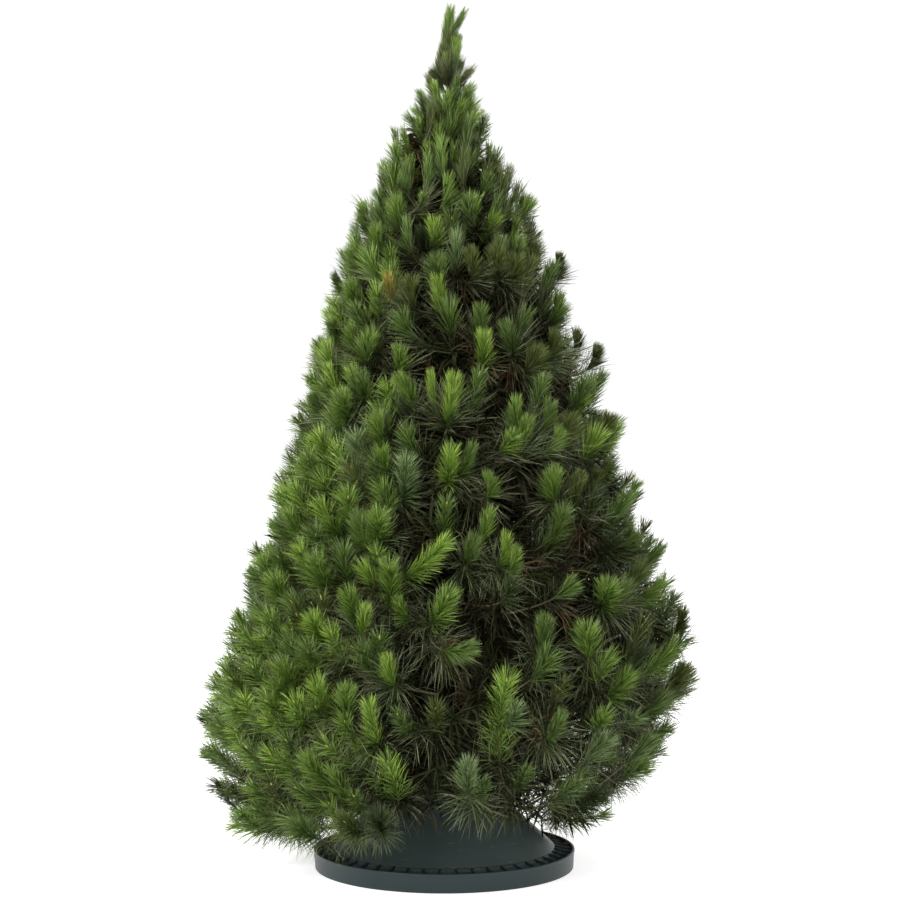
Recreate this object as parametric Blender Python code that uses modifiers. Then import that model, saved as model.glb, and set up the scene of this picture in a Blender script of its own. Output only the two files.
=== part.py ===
"""A cut, sheared pine in a round plastic stand.

Metres, +Z up. The origin is the middle of the stand's flat underside, and -Y is the front.
The trunk stands in the stand's well. Boughs leave it in whorls, and each bough ends where its
mass of foliage begins. A mass keeps to its own space: the sector of the crown round its bough,
between the layers of the whorls below and above. In that space one stem bears twigs, and each
twig ends in a spray of needles whose tip lies on the outline of the crown.
"""
import math
from random import Random

import bmesh
import bpy
import numpy as np
from mathutils import Matrix, Vector

FIT = 0.0003  # clearance between two pieces that touch
SLIVER = 2e-6  # points nearer than this are made one after a union
SEED = 4

# The stand: a shallow tray, and a dome in it with a well and a collar round the trunk
WALL = 0.004
TRAY_RADIUS = 0.304
TRAY_HEIGHT = 0.044
DOME_RADIUS = 0.276
DOME_FOOT = 0.030
DOME_TOP = 0.215
COLLAR_RADIUS = 0.080
COLLAR_TOP = 0.245
WELL_RADIUS = 0.066
STAND_SIDES = 36
SCREW_COUNT = 3
SCREW_RADIUS = 0.004
SCREW_LENGTH = 0.105
SCREW_HEIGHT = 0.230
HANDLE_LENGTH = 0.044

# The trunk: from its flat cut on the floor of the well to the foot of the leader
BUTT_Z = 2 * (WALL + FIT)
TRUNK_TOP = 1.80
BUTT_RADIUS = 0.038
TRUNK_TIP_RADIUS = 0.0035
TRUNK_BOW = 0.030
TIP_LEAN = 0.016
LEAN_START = 1.55
TREE_TOP = 2.0

# The crown's outline: height, radius, and how far its middle lies to +X of the stand's
OUTLINE = np.array([
    (0.04, 0.388, -0.036), (0.10, 0.455, -0.052), (0.18, 0.500, -0.062), (0.28, 0.548, -0.030),
    (0.38, 0.581, -0.003), (0.48, 0.578, 0.020), (0.60, 0.544, 0.037), (0.74, 0.500, 0.033),
    (0.88, 0.443, 0.031), (1.02, 0.402, 0.030), (1.16, 0.357, 0.030), (1.30, 0.291, 0.004),
    (1.44, 0.260, 0.010), (1.58, 0.196, 0.010), (1.72, 0.122, -0.006), (1.84, 0.062, 0.010),
    (1.92, 0.026, 0.016),
])
SKIRT_FRONT = 0.230  # the lowest foliage, at the front, at the sides and at the back
SKIRT_SIDE = 0.070
SKIRT_BACK = 0.110

# The whorls, from the lowest: how many boughs, the height where they leave the trunk, the height
# and the slope where their line comes out of the crown, and the first one's direction in degrees
WHORLS = (
    (6, 0.340, 0.22, 0.40, 0),
    (6, 0.460, 0.50, 0.65, 30),
    (5, 0.640, 0.82, 0.90, 54),
    (4, 0.860, 1.12, 1.30, 0),
    (3, 1.080, 1.38, 1.80, 30),
    (3, 1.300, 1.62, 2.90, 90),
)
BOUGH_WHORLS = 5  # the highest whorl's stems spring straight from the trunk
BOUGH_SHARE = 0.36  # how far out a bough reaches, as a share of the crown's radius there
CORE_WHORLS = 5  # the crown is sheared and dense, so all but the slim top masses have a core
CORE_DEPTH = 0.105  # how far inside the crown's outline a core stays
CORE_START = 0.015  # and how far beyond the tip of its bough
CORE_WIDTH = 0.93  # the share of its mass's space that it fills, across and up
CORE_SQUARENESS = 0.62  # the power that squares up its round form; 1 is an ellipsoid
SPACE_MARGIN = 0.004  # how far inside its own space a mass stays

# The sprays of needles
SPRAY_LENGTH = (0.175, 0.125)  # at the foot of the crown, and at its top
SPRAY_SLIMNESS = 0.30  # a spray's radius over its length
SPRAY_PITCH = (0.136, 0.112)  # distance between the tips of neighbours
SPRAY_TEETH = 4
# What is tried until a spray lies in its mass's space: its size, and how far its base is lifted
SPRAY_TRIES = ((1, 0), (0.85, 0), (1, 0.03), (0.85, 0.03), (0.7, 0.0), (0.7, 0.05), (0.55, 0))
SHOOT_RISE = ((0.0, 16), (0.3, 34), (0.6, 48), (1.0, 57), (1.4, 66), (1.7, 76), (2.0, 86))
# The leader: its stem, the reach of its second shoot, and for each tier of the sprays round it
# how far out and how high they reach, and their half width
LEADER_STEM = 0.10
LEADER_FORK = (0.036, -0.003, 0.188)
LEADER_TIERS = ((0.056, 0.054, 0.020), (0.032, 0.100, 0.015), (0.020, 0.142, 0.012))
LEADER_SIDES = 4
LEADER_RISE = 1.6  # how steeply those sprays leave the stem
TWIG_RADIUS = 0.0026
STEM_RADIUS = 0.0042


def clear_scene():
    for thing in list(bpy.data.objects):
        bpy.data.objects.remove(thing)


def new_collection(name):
    collection = bpy.data.collections.new(name)
    bpy.context.scene.collection.children.link(collection)
    return collection


def material(name, colour, roughness, metallic=0.0):
    made = bpy.data.materials.new(name)
    made.use_nodes = True
    shader = made.node_tree.nodes["Principled BSDF"]
    shader.inputs["Base Color"].default_value = (*colour, 1.0)
    shader.inputs["Roughness"].default_value = roughness
    shader.inputs["Metallic"].default_value = metallic
    return made


def add_object(name, mesh, collection, finish=None):
    made = bpy.data.objects.new(name, mesh)
    collection.objects.link(made)
    if finish:
        mesh.materials.append(finish)
    return made


def evaluated_mesh(thing):
    """A new mesh of an object as its modifiers leave it."""
    graph = bpy.context.evaluated_depsgraph_get()
    return bpy.data.meshes.new_from_object(thing.evaluated_get(graph))


def boolean(thing, operation, cutter=None, collection=None, solver="EXACT"):
    modifier = thing.modifiers.new(operation.lower(), "BOOLEAN")
    modifier.operation = operation
    modifier.solver = solver
    if collection:
        modifier.operand_type = "COLLECTION"
        modifier.collection = collection
    else:
        modifier.object = cutter
    return modifier


def tube(name, points, radii, roundness, collection, finish=None):
    """A tapering round limb along a line of points, drawn as a bevelled curve."""
    curve = bpy.data.curves.new(name, "CURVE")
    curve.dimensions = "3D"
    curve.bevel_depth = 1.0
    curve.bevel_resolution = roundness
    curve.use_fill_caps = True
    line = curve.splines.new("POLY")
    line.points.add(len(points) - 1)
    for spot, point, radius in zip(line.points, points, radii):
        spot.co = (*point, 1.0)
        spot.radius = radius
    drawn = bpy.data.objects.new(name + "_line", curve)
    collection.objects.link(drawn)
    mesh = evaluated_mesh(drawn)
    bpy.data.objects.remove(drawn)
    shape = bmesh.new()
    shape.from_mesh(mesh)
    bmesh.ops.remove_doubles(shape, verts=shape.verts, dist=1e-6)
    shape.to_mesh(mesh)
    shape.free()
    return add_object(name, mesh, collection, finish)


def turned(name, profile, collection, finish):
    """A round piece: a profile of (radius, height), out from the axis and back to it, turned."""
    mesh = bpy.data.meshes.new(name)
    edges = [(i, i + 1) for i in range(len(profile) - 1)]
    mesh.from_pydata([(radius, 0.0, height) for radius, height in profile], edges, [])
    made = add_object(name, mesh, collection, finish)
    screw = made.modifiers.new("turn", "SCREW")
    screw.axis = "Z"
    screw.steps = screw.render_steps = STAND_SIDES
    screw.use_merge_vertices = True
    screw.merge_threshold = 1e-5
    return made


# ---- the lines and spaces of the tree


def trunk_middle(z):
    """The trunk's middle at a height: bowed to +X half-way up, its tip leaning over to +X."""
    bow = TRUNK_BOW * math.sin(math.pi * z / TRUNK_TOP) ** 2
    lean = TIP_LEAN * max(0.0, (z - LEAN_START) / (TRUNK_TOP - LEAN_START)) ** 2
    return np.array((bow + lean, 0.4 * bow, z))


def trunk_radius(z):
    share = max(0.0, 1 - z / TRUNK_TOP)
    return TRUNK_TIP_RADIUS + (BUTT_RADIUS - TRUNK_TIP_RADIUS) * share**0.9


def crown_radius(z):
    return float(np.interp(z, OUTLINE[:, 0], OUTLINE[:, 1]))


def crown_point(z, azimuth):
    """Where a level line from the trunk's middle meets the crown's round outline."""
    middle = np.array((float(np.interp(z, OUTLINE[:, 0], OUTLINE[:, 2])), 0.0, z))
    start = trunk_middle(z)
    out = np.array((math.cos(azimuth), math.sin(azimuth), 0.0))
    aside = float((start - middle) @ out)
    apart = float((start - middle) @ (start - middle))
    return start + (math.sqrt(aside**2 - apart + crown_radius(z) ** 2) - aside) * out


def skirt(azimuth):
    """The lowest height of the foliage in a direction."""
    ahead = math.sin(azimuth) ** 2
    lowest = SKIRT_BACK if math.sin(azimuth) > 0 else SKIRT_FRONT
    return SKIRT_SIDE + (lowest - SKIRT_SIDE) * ahead


def layer_height(whorl, radius):
    """The height of a whorl's line at a distance from the trunk: a parabola that leaves the
    trunk at one height and comes out of the crown at another, with the slope given there."""
    _, leaves, comes_out, slope, _ = WHORLS[whorl]
    reach = crown_radius(comes_out)
    mean = (comes_out - leaves) / reach
    return leaves + (2 * mean - slope) * radius + (slope - mean) / reach * radius**2


def stand_top(radius):
    """The height over which foliage clears the stand and its screws, by distance from the axis."""
    if radius < COLLAR_RADIUS + SCREW_LENGTH / 2:
        return COLLAR_TOP + 0.012
    slope = (DOME_TOP - DOME_FOOT) / (DOME_RADIUS - COLLAR_RADIUS)
    dome = DOME_FOOT + slope * max(0.0, DOME_RADIUS - radius)
    return (max(dome, TRAY_HEIGHT) if radius < TRAY_RADIUS + 0.01 else 0.0) + 0.008


def layer_faces(whorl, azimuth, radius):
    """The heights of the bottom and the top of a whorl's layer, at a distance from the trunk."""
    line = layer_height(whorl, radius)
    bottom = max(stand_top(radius), skirt(azimuth) - 0.035)
    if whorl:
        bottom = (line + layer_height(whorl - 1, radius)) / 2
    top = TRUNK_TOP
    if whorl + 1 < len(WHORLS):
        top = (line + layer_height(whorl + 1, radius)) / 2
    return bottom, top


def outline_span(whorl, azimuth):
    """The heights between which a whorl's masses come out of the crown."""
    low, high = skirt(azimuth), TRUNK_TOP
    if whorl:
        low = (WHORLS[whorl - 1][2] + WHORLS[whorl][2]) / 2
    if whorl + 1 < len(WHORLS):
        high = (WHORLS[whorl][2] + WHORLS[whorl + 1][2]) / 2
    return low, high


def room(mass, point):
    """How far inside its mass's space a point lies; negative outside it."""
    whorl, azimuth, half_width = mass
    away = point - trunk_middle(point[2])
    radius = math.hypot(away[0], away[1])
    turn = math.remainder(math.atan2(away[1], away[0]) - azimuth, math.tau)
    sides = radius * math.sin(half_width - abs(turn)) if abs(turn) < half_width else -1.0
    bottom, top = layer_faces(whorl, azimuth + turn, radius)
    trunk = radius - trunk_radius(point[2])
    return min(sides, top - point[2], point[2] - bottom, trunk)


def along(line, distance_from_trunk, azimuth):
    """A point on a whorl's line in a direction, at a distance from the trunk."""
    height = layer_height(line, distance_from_trunk)
    out = np.array((math.cos(azimuth), math.sin(azimuth), 0.0))
    return trunk_middle(height) + distance_from_trunk * out


def shoot_direction(z, azimuth):
    """Young shoots turn up to the light: the higher on the tree, the steeper."""
    rise = math.radians(np.interp(z, [h for h, _ in SHOOT_RISE], [a for _, a in SHOOT_RISE]))
    flat = math.cos(rise)
    return np.array((flat * math.cos(azimuth), flat * math.sin(azimuth), math.sin(rise)))


def at_height(pair, z):
    """A size that changes evenly from the foot of the crown to its top."""
    return pair[0] + (pair[1] - pair[0]) * min(1.0, z / TRUNK_TOP)


# ---- sprays, twigs and masses


def unit(vector):
    return vector / np.linalg.norm(vector)


def ring(middle, direction, side, radii, turn):
    """Points round an axis, one for each radius, counted from the side that is given."""
    across = unit(side - (side @ direction) * direction)
    up = np.cross(direction, across)
    angles = turn + np.arange(len(radii)) * math.tau / len(radii)
    spread = np.outer(np.cos(angles), across) + np.outer(np.sin(angles), up)
    return middle + np.array(radii)[:, None] * spread


def loft(name, rings, tip, collection):
    """A closed solid through rings of unlike counts: a flat end, the sides, and a tip or end."""
    points = np.vstack(rings + ([tip[None]] if tip is not None else []))
    starts = np.cumsum([0] + [len(r) for r in rings])
    faces = [tuple(range(len(rings[0])))[::-1]]
    for low, high, a0, b0 in zip(rings, rings[1:], starts, starts[1:]):
        a = b = 0
        while a < len(low) or b < len(high):
            here, there = a0 + a % len(low), b0 + b % len(high)
            if b == len(high) or (a < len(low) and (a + 1) / len(low) <= (b + 1) / len(high)):
                a += 1
                faces.append((here, a0 + a % len(low), there))
            else:
                b += 1
                faces.append((here, b0 + b % len(high), there))
    last, count = starts[-2], len(rings[-1])
    if tip is None:
        faces.append(tuple(last + i for i in range(count)))
    else:
        faces += [(last + i, last + (i + 1) % count, starts[-1]) for i in range(count)]
    mesh = bpy.data.meshes.new(name)
    mesh.from_pydata(points.tolist(), [], [tuple(int(i) for i in face) for face in faces])
    return add_object(name, mesh, collection)


def spray(name, root, base, tip, turn, width, collection):
    """A twig from its root to its base, and from there a toothed body of needles to the tip."""
    twig, axis = unit(base - root), unit(tip - base)
    side = np.cross(twig, axis)  # square to both, so that no ring is turned against the next
    belly = base + 0.62 * (tip - base)
    teeth = [width if i % 2 == 0 else 0.45 * width for i in range(2 * SPRAY_TEETH)]
    rings = [
        ring(root, twig, side, [TWIG_RADIUS * 0.7] * 3, turn),
        ring(base, axis, side, [TWIG_RADIUS] * 3, turn),
        ring(belly, axis, side, teeth, turn),
    ]
    return loft(name, rings, tip, collection), rings[2]


def spray_tips(mass, random):
    """Where the sprays of a mass end: rows over its patch of the crown's outline, staggered."""
    whorl, azimuth, half_width = mass
    low, high = outline_span(whorl, azimuth)
    pitch = at_height(SPRAY_PITCH, (low + high) / 2)
    rows = max(1, round((high - low) / pitch))
    for row in range(rows):
        z = low + (row + 0.55) * (high - low) / rows
        columns = max(1, round(2 * half_width * crown_radius(z) / pitch))
        for column in range(columns):
            share = (column + 0.5) / columns - 0.5 + random.uniform(-0.12, 0.12) / columns
            height = z + random.uniform(-0.22, 0.22) * pitch
            yield crown_point(height, azimuth + 2 * half_width * share)


def nearest_parent(base, joints):
    """The joint that a new twig grows from: near its base, and not behind its own line."""
    def cost(joint):
        reach = base - joint[0]
        length = np.linalg.norm(reach)
        return length * (1.9 - 0.9 * float(reach @ joint[1]) / max(length, 1e-6))

    return min(joints, key=cost)


def make_core(name, mass, start, collection):
    """The dense heart of a mass: a ball pressed into the shape of the mass's space. Its X runs
    outwards there, its Y across the sector and its Z from the layer's bottom to its top."""
    whorl, azimuth, half_width = mass
    low, high = outline_span(whorl, azimuth)
    ball = bmesh.new()
    bmesh.ops.create_icosphere(ball, subdivisions=2, radius=1.0)
    for vertex in ball.verts:
        out, across, up = (
            math.copysign(abs(c) ** CORE_SQUARENESS, c) * CORE_WIDTH ** (i > 0)
            for i, c in enumerate(vertex.co)
        )
        turn = azimuth + across * half_width
        rim = crown_point(low + (up + 1) / 2 * (high - low), turn)
        reach = math.dist(rim, trunk_middle(rim[2])) - CORE_DEPTH
        radius = start + CORE_START + (reach - start - CORE_START) * (out + 1) / 2
        bottom, top = layer_faces(whorl, turn, radius)
        height = bottom + (up + 1) / 2 * (top - bottom)
        aside = radius * np.array((math.cos(turn), math.sin(turn), 0.0))
        vertex.co = trunk_middle(height) + aside
    mesh = bpy.data.meshes.new(name)
    ball.to_mesh(mesh)
    ball.free()
    return add_object(name, mesh, collection)


def grow_mass(name, mass, start, start_axis, parts, finish, random):
    """One mass: its stem along the whorl's line, its twigs, and their sprays, fused. The stem's
    foot lies flat against the end of the bough, or starts inside the trunk."""
    whorl, azimuth, _ = mass
    reach = crown_radius(WHORLS[whorl][2])
    end = reach - 0.9 * at_height(SPRAY_LENGTH, WHORLS[whorl][2])
    stations = [start + (end - start) * i / 3 for i in range(4)]
    points = [along(whorl, distance, azimuth) for distance in stations]
    axes = [unit(b - a) for a, b in zip(points, points[1:])]
    points[0] = points[0] + FIT * start_axis
    radii = [STEM_RADIUS * (1 - 0.14 * i) for i in range(4)]
    facing = [start_axis] + axes
    side = np.array((-math.sin(azimuth), math.cos(azimuth), 0.0))
    rings = [ring(p, axis, side, [size] * 4, 0.0) for p, axis, size in zip(points, facing, radii)]
    stem = loft(name, rings, None, parts)
    joints = []
    for a, b, axis in zip(points, points[1:], axes):
        joints += [(a + (b - a) * share, axis) for share in (0.35, 0.7, 0.98)]
    pieces = new_collection(name + "_pieces")
    if whorl < CORE_WHORLS:
        make_core(name + "_core", mass, start, pieces)
    plans = []
    for tip in spray_tips(mass, random):
        around = math.atan2(tip[1], tip[0]) + random.uniform(-0.2, 0.2)
        run = at_height(SPRAY_LENGTH, tip[2]) * shoot_direction(tip[2], around)
        plans.append((tip - run, tip, random.uniform(0, math.tau)))
    plans.sort(key=lambda plan: float(np.linalg.norm(plan[0] - points[0])))
    for count, (whole_base, tip, turn) in enumerate(plans):
        for size, lift in SPRAY_TRIES:
            base = tip + size * (whole_base - tip) + (0, 0, lift)
            root, _ = nearest_parent(base, joints)
            width = SPRAY_SLIMNESS * np.linalg.norm(tip - base)
            made, teeth = spray(f"{name}_spray_{count}", root, base, tip, turn, width, pieces)
            twig = [root + (base - root) * share for share in (0.3, 0.6, 1.0)]
            if min(room(mass, point) for point in [*teeth, *twig, tip]) > SPACE_MARGIN:
                axis = unit(base - root)
                joints += [(root + (base - root) * share, axis) for share in (0.5, 0.9)]
                break
            bpy.data.objects.remove(made)
    boolean(stem, "UNION", collection=pieces, solver="MANIFOLD")
    replace_mesh(stem, finish)
    for piece in list(pieces.objects):
        bpy.data.objects.remove(piece)
    bpy.data.collections.remove(pieces)
    return stem


def replace_mesh(thing, finish):
    """Applies an object's modifiers, and keeps the outer skin of its largest body: loose scraps
    are dropped and sealed hollows filled."""
    shape = bmesh.new()
    shape.from_mesh(evaluated_mesh(thing))
    bmesh.ops.triangulate(shape, faces=shape.faces)
    bmesh.ops.remove_doubles(shape, verts=shape.verts, dist=SLIVER)
    waiting = set(shape.faces)
    bodies = []
    while waiting:
        body, edge = set(), [next(iter(waiting))]
        while edge:
            face = edge.pop()
            if face not in body:
                body.add(face)
                edge += [other for side in face.edges for other in side.link_faces]
        waiting -= body
        bodies.append(body)
    bodies.sort(key=len)
    loose = [face for body in bodies[:-1] for face in body]
    bmesh.ops.delete(shape, geom=loose, context="FACES")
    thing.modifiers.clear()
    thing.data = bpy.data.meshes.new(thing.name)
    shape.to_mesh(thing.data)
    shape.free()
    thing.data.materials.append(finish)


# ---- the tree's and the stand's pieces


def make_trunk(name, extra, collection, finish=None):
    """The trunk, or with something extra on its radius the cutter that clears it."""
    heights = [BUTT_Z, 0.12, *np.linspace(0.30, TRUNK_TOP, 12)]
    points = [trunk_middle(z) for z in heights]
    points[0][:2] = points[1][:2]
    radii = [trunk_radius(z) + extra for z in heights]
    return tube(name, points, radii, 3, collection, finish)


def make_bough(name, whorl, azimuth, cutter, collection, finish):
    """One bough, from inside the trunk along its whorl's line; the cutter trims its root."""
    reach = BOUGH_SHARE * crown_radius(WHORLS[whorl][2])
    shares = np.linspace(0, 1, 4)
    points = [along(whorl, share * reach, azimuth) for share in shares]
    root = 0.36 * trunk_radius(WHORLS[whorl][1])
    radii = [root + (STEM_RADIUS - root) * share for share in shares]
    bough = tube(name, points, radii, 1, collection, finish)
    boolean(bough, "DIFFERENCE", cutter)
    replace_mesh(bough, finish)
    return reach, unit(points[-1] - points[-2])


def make_leader(collection, finish):
    """The leader above the trunk's tip: an upright stem with a sheaf of sprays round it, and at
    its top two shoots, the second leaning away to +X."""
    foot = trunk_middle(TRUNK_TOP)
    axis = unit(foot - trunk_middle(TRUNK_TOP - 0.01))
    start = foot + FIT * axis
    neck = start + LEADER_STEM * axis
    side, size = np.array((0.0, 1.0, 0.0)), [TRUNK_TIP_RADIUS * 0.9] * 4
    rings = [ring(p, axis, side, size, 0.0) for p in (start, neck)]
    leader = loft("mass_leader", rings, None, collection)
    pieces = new_collection("leader_pieces")
    shoots = [((0.0, 0.002, TREE_TOP - foot[2]), 0.022), (LEADER_FORK, 0.013)]
    for tier, (radius, height, width) in enumerate(LEADER_TIERS):
        for i in range(LEADER_SIDES):
            angle = math.tau * (i + 0.5 * tier + 0.2) / LEADER_SIDES
            out = (radius * math.cos(angle), radius * math.sin(angle), height)
            shoots.append((out, width))
    for i, (reach, width) in enumerate(shoots):
        tip = foot + reach
        sunk = reach[2] - LEADER_RISE * math.hypot(reach[0], reach[1])
        root = start + min(max(sunk, 0.008), LEADER_STEM - 0.01) * axis
        base = root + 0.2 * (tip - root) + (0.0, 0.0, 0.001)
        spray(f"leader_spray_{i}", root, base, tip, 0.7 * i, width, pieces)
    boolean(leader, "UNION", collection=pieces, solver="MANIFOLD")
    replace_mesh(leader, finish)
    for piece in list(pieces.objects):
        bpy.data.objects.remove(piece)
    bpy.data.collections.remove(pieces)


def make_tray(collection, finish):
    """The shallow tray: a flat floor with an upright rim."""
    inner = TRAY_RADIUS - WALL
    profile = [(0, WALL), (inner, WALL), (inner, TRAY_HEIGHT), (TRAY_RADIUS, TRAY_HEIGHT)]
    profile += [(TRAY_RADIUS, 0), (0, 0)]
    turned("stand_tray", profile, collection, finish)


def make_dome(collection, finish, cutters):
    """The hollow dome: well, collar, slope and foot, open underneath, drilled for the screws."""
    seat = WALL + FIT
    well = WELL_RADIUS + WALL
    slope = (DOME_TOP - DOME_FOOT) / (DOME_RADIUS - COLLAR_RADIUS)
    inner_foot = DOME_RADIUS - WALL
    under = DOME_FOOT - 0.5 * WALL
    profile = [
        (0, seat + WALL), (WELL_RADIUS, seat + WALL), (WELL_RADIUS, COLLAR_TOP),
        (COLLAR_RADIUS, COLLAR_TOP), (COLLAR_RADIUS, DOME_TOP), (DOME_RADIUS, DOME_FOOT),
        (DOME_RADIUS, seat), (inner_foot, seat), (inner_foot, under),
        (well, under + slope * (inner_foot - well)), (well, seat), (0, seat),
    ]
    dome = turned("stand_dome", profile, collection, finish)
    for i in range(SCREW_COUNT):
        hole = round_bar(SCREW_RADIUS + FIT, 0.06, cutters)
        hole.matrix_world = screw_place(i) @ Matrix.Translation((0, 0, COLLAR_RADIUS - 0.01))
        hole.hide_render = True
        hole.display_type = "WIRE"
        boolean(dome, "DIFFERENCE", hole)


def round_bar(radius, length, collection):
    """An eight-sided bar along Z, its middle at the origin."""
    shape = bmesh.new()
    bmesh.ops.create_cone(
        shape, cap_ends=True, segments=8, radius1=radius, radius2=radius, depth=length
    )
    mesh = bpy.data.meshes.new("bar")
    shape.to_mesh(mesh)
    shape.free()
    return add_object("bar", mesh, collection)


def screw_place(index):
    """The frame of a clamp screw: its Z runs outwards from the trunk's middle."""
    angle = math.tau * index / SCREW_COUNT + math.radians(30)
    middle = Vector(trunk_middle(SCREW_HEIGHT))
    turn = Matrix.Rotation(angle, 4, "Z") @ Matrix.Rotation(math.pi / 2, 4, "Y")
    return Matrix.Translation(middle) @ turn


def make_screw(index, collection, finish):
    """One clamp screw: a shank with its end on the bark, and a cross bar to turn it by."""
    start = trunk_radius(SCREW_HEIGHT) + 2 * FIT
    shank = round_bar(SCREW_RADIUS, SCREW_LENGTH, collection)
    shank.name = f"clamp_screw_{index + 1}"
    middle = Matrix.Translation((0, 0, start + SCREW_LENGTH / 2))
    shank.matrix_world = screw_place(index) @ middle
    bar = round_bar(0.8 * SCREW_RADIUS, HANDLE_LENGTH, collection)
    end = Matrix.Translation((0, 0, start + SCREW_LENGTH - 1.5 * SCREW_RADIUS))
    bar.matrix_world = screw_place(index) @ end @ Matrix.Rotation(math.pi / 2, 4, "X")
    bpy.context.view_layer.update()
    boolean(shank, "UNION", bar)
    replace_mesh(shank, finish)
    bpy.data.objects.remove(bar)


def build():
    clear_scene()
    parts = new_collection("pine_tree")
    cutters = new_collection("cutters")
    bark = material("bark", (0.105, 0.070, 0.045), 0.9)
    needles = material("needles", (0.060, 0.120, 0.025), 0.6)
    plastic = material("plastic", (0.030, 0.050, 0.052), 0.45)
    steel = material("steel", (0.55, 0.55, 0.53), 0.35, 1.0)

    make_tray(parts, plastic)
    make_dome(parts, plastic, cutters)
    for index in range(SCREW_COUNT):
        make_screw(index, parts, steel)
    make_trunk("trunk", 0.0, parts, bark)
    clearing = make_trunk("trunk_clearing", FIT, cutters)
    clearing.hide_render = True
    clearing.display_type = "WIRE"
    for whorl, (count, _, _, _, first) in enumerate(WHORLS):
        for index in range(count):
            azimuth = math.radians(first) + math.tau * index / count
            mass = (whorl, azimuth, math.pi / count)
            label = f"{whorl + 1}_{index + 1}"
            random = Random(SEED * 1000 + whorl * 10 + index)
            start, axis = 0.004, np.array((math.cos(azimuth), math.sin(azimuth), 0.0))
            if whorl < BOUGH_WHORLS:
                start, axis = make_bough(f"bough_{label}", whorl, azimuth, clearing, parts, bark)
            made = grow_mass(f"mass_{label}", mass, start, axis, parts, needles, random)
            if whorl >= BOUGH_WHORLS:
                boolean(made, "DIFFERENCE", clearing)
                replace_mesh(made, needles)
    make_leader(parts, needles)


build()
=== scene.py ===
"""A cut pine tree in a round plastic stand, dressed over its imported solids.

Metres, +Z up, -Y is the front. The file follows the order in which the real thing comes
together: the stand and its screws, the trunk and its boughs, then the twigs that grow on from
the boughs, and at last the buds and the needles on them.
"""
import math
from random import Random

import bpy
import numpy as np
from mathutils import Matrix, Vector


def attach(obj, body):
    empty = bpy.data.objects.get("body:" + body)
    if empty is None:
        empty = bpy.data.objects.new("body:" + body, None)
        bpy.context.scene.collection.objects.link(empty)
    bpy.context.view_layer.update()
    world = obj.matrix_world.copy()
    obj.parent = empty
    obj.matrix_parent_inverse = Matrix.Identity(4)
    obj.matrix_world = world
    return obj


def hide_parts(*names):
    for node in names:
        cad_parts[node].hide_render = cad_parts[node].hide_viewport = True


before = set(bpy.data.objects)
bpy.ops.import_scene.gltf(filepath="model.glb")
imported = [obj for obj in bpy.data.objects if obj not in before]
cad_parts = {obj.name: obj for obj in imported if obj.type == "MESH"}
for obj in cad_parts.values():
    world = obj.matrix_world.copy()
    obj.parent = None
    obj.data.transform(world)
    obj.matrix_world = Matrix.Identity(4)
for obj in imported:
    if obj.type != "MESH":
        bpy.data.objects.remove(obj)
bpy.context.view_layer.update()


# ---- Stand tray
# The shallow round base, moulded in dark green polypropylene in one piece: a flat floor, an
# upright rim with a soft lip, and thin webs that reach from the rim in over the dome's foot.

TRAY_RADIUS, TRAY_HEIGHT, TRAY_WALL = 0.304, 0.044, 0.004
WEB_COUNT, WEB_THICK = 45, 0.0026
WEB_INNER, WEB_OUTER, WEB_FOOT = 0.2768, 0.3004, 0.0042
PLASTIC, PLASTIC_WORN = (0.011, 0.021, 0.022, 1), (0.040, 0.060, 0.062, 1)
STAND_SIDES, SHARP_PAST = 192, 40  # sides of a round part; the angle past which an edge is sharp


def unit(vectors):
    """Vectors divided by their lengths."""
    return vectors / np.linalg.norm(vectors, axis=-1, keepdims=True)


def eased(profile, radii, steps=5):
    """A profile with its corners eased: each corner becomes the quadratic curve that leaves one
    side and meets the next at one radius from the corner."""
    corner, radius = np.asarray(profile, float), np.asarray(radii, float)[:, None]
    here = corner + radius * unit(np.roll(corner, 1, 0) - corner)
    there = corner + radius * unit(np.roll(corner, -1, 0) - corner)
    t = np.linspace(0, 1, steps)[None, :, None]
    line = (1 - t) ** 2 * here[:, None] + 2 * t * (1 - t) * corner[:, None] + t**2 * there[:, None]
    line = line.reshape(-1, 2)
    return line[np.r_[True, np.linalg.norm(np.diff(line, axis=0), axis=1) > 1e-7]]


def grid_quads(rows, columns):
    """Quads of a grid whose columns close on themselves: from each point to the next row, on to
    the next column, and back."""
    row, column = np.mgrid[0 : rows - 1, 0:columns]
    beside = (column + 1) % columns
    here, next_row = row * columns, (row + 1) * columns
    corners = (here + column, next_row + column, next_row + beside, here + beside)
    return np.stack(corners, -1).reshape(-1, 4)


def turned(profile, sides):
    """A profile of (radius, height) turned round Z: at turn a, the point (r cos a, r sin a, h).
    Its two ends lie on the axis, and each is one shared pole."""
    turns = np.arange(sides) * math.tau / sides
    r, h = profile[1:-1].T
    x, y = np.outer(r, np.cos(turns)), np.outer(r, np.sin(turns))
    rings = np.stack([x, y, np.repeat(h[:, None], sides, 1)], -1).reshape(-1, 3)
    poles = [[0, 0, profile[0, 1]], [0, 0, profile[-1, 1]]]
    here = np.arange(sides)
    beside = (here + 1) % sides
    last, pole = (len(r) - 1) * sides, np.full(sides, len(rings))
    first_cap = np.stack([pole, here, beside], -1)
    last_cap = np.stack([pole + 1, last + beside, last + here], -1)
    return np.vstack([rings, poles]), [grid_quads(len(r), sides), first_cap, last_cap]


def joined(*shapes):
    """Several shapes, each its points and its lists of faces, as one."""
    points, faces, count = [], [], 0
    for more_points, more_faces in shapes:
        points.append(more_points)
        faces += [face + count for face in more_faces]
        count += len(more_points)
    return np.vstack(points), faces


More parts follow.
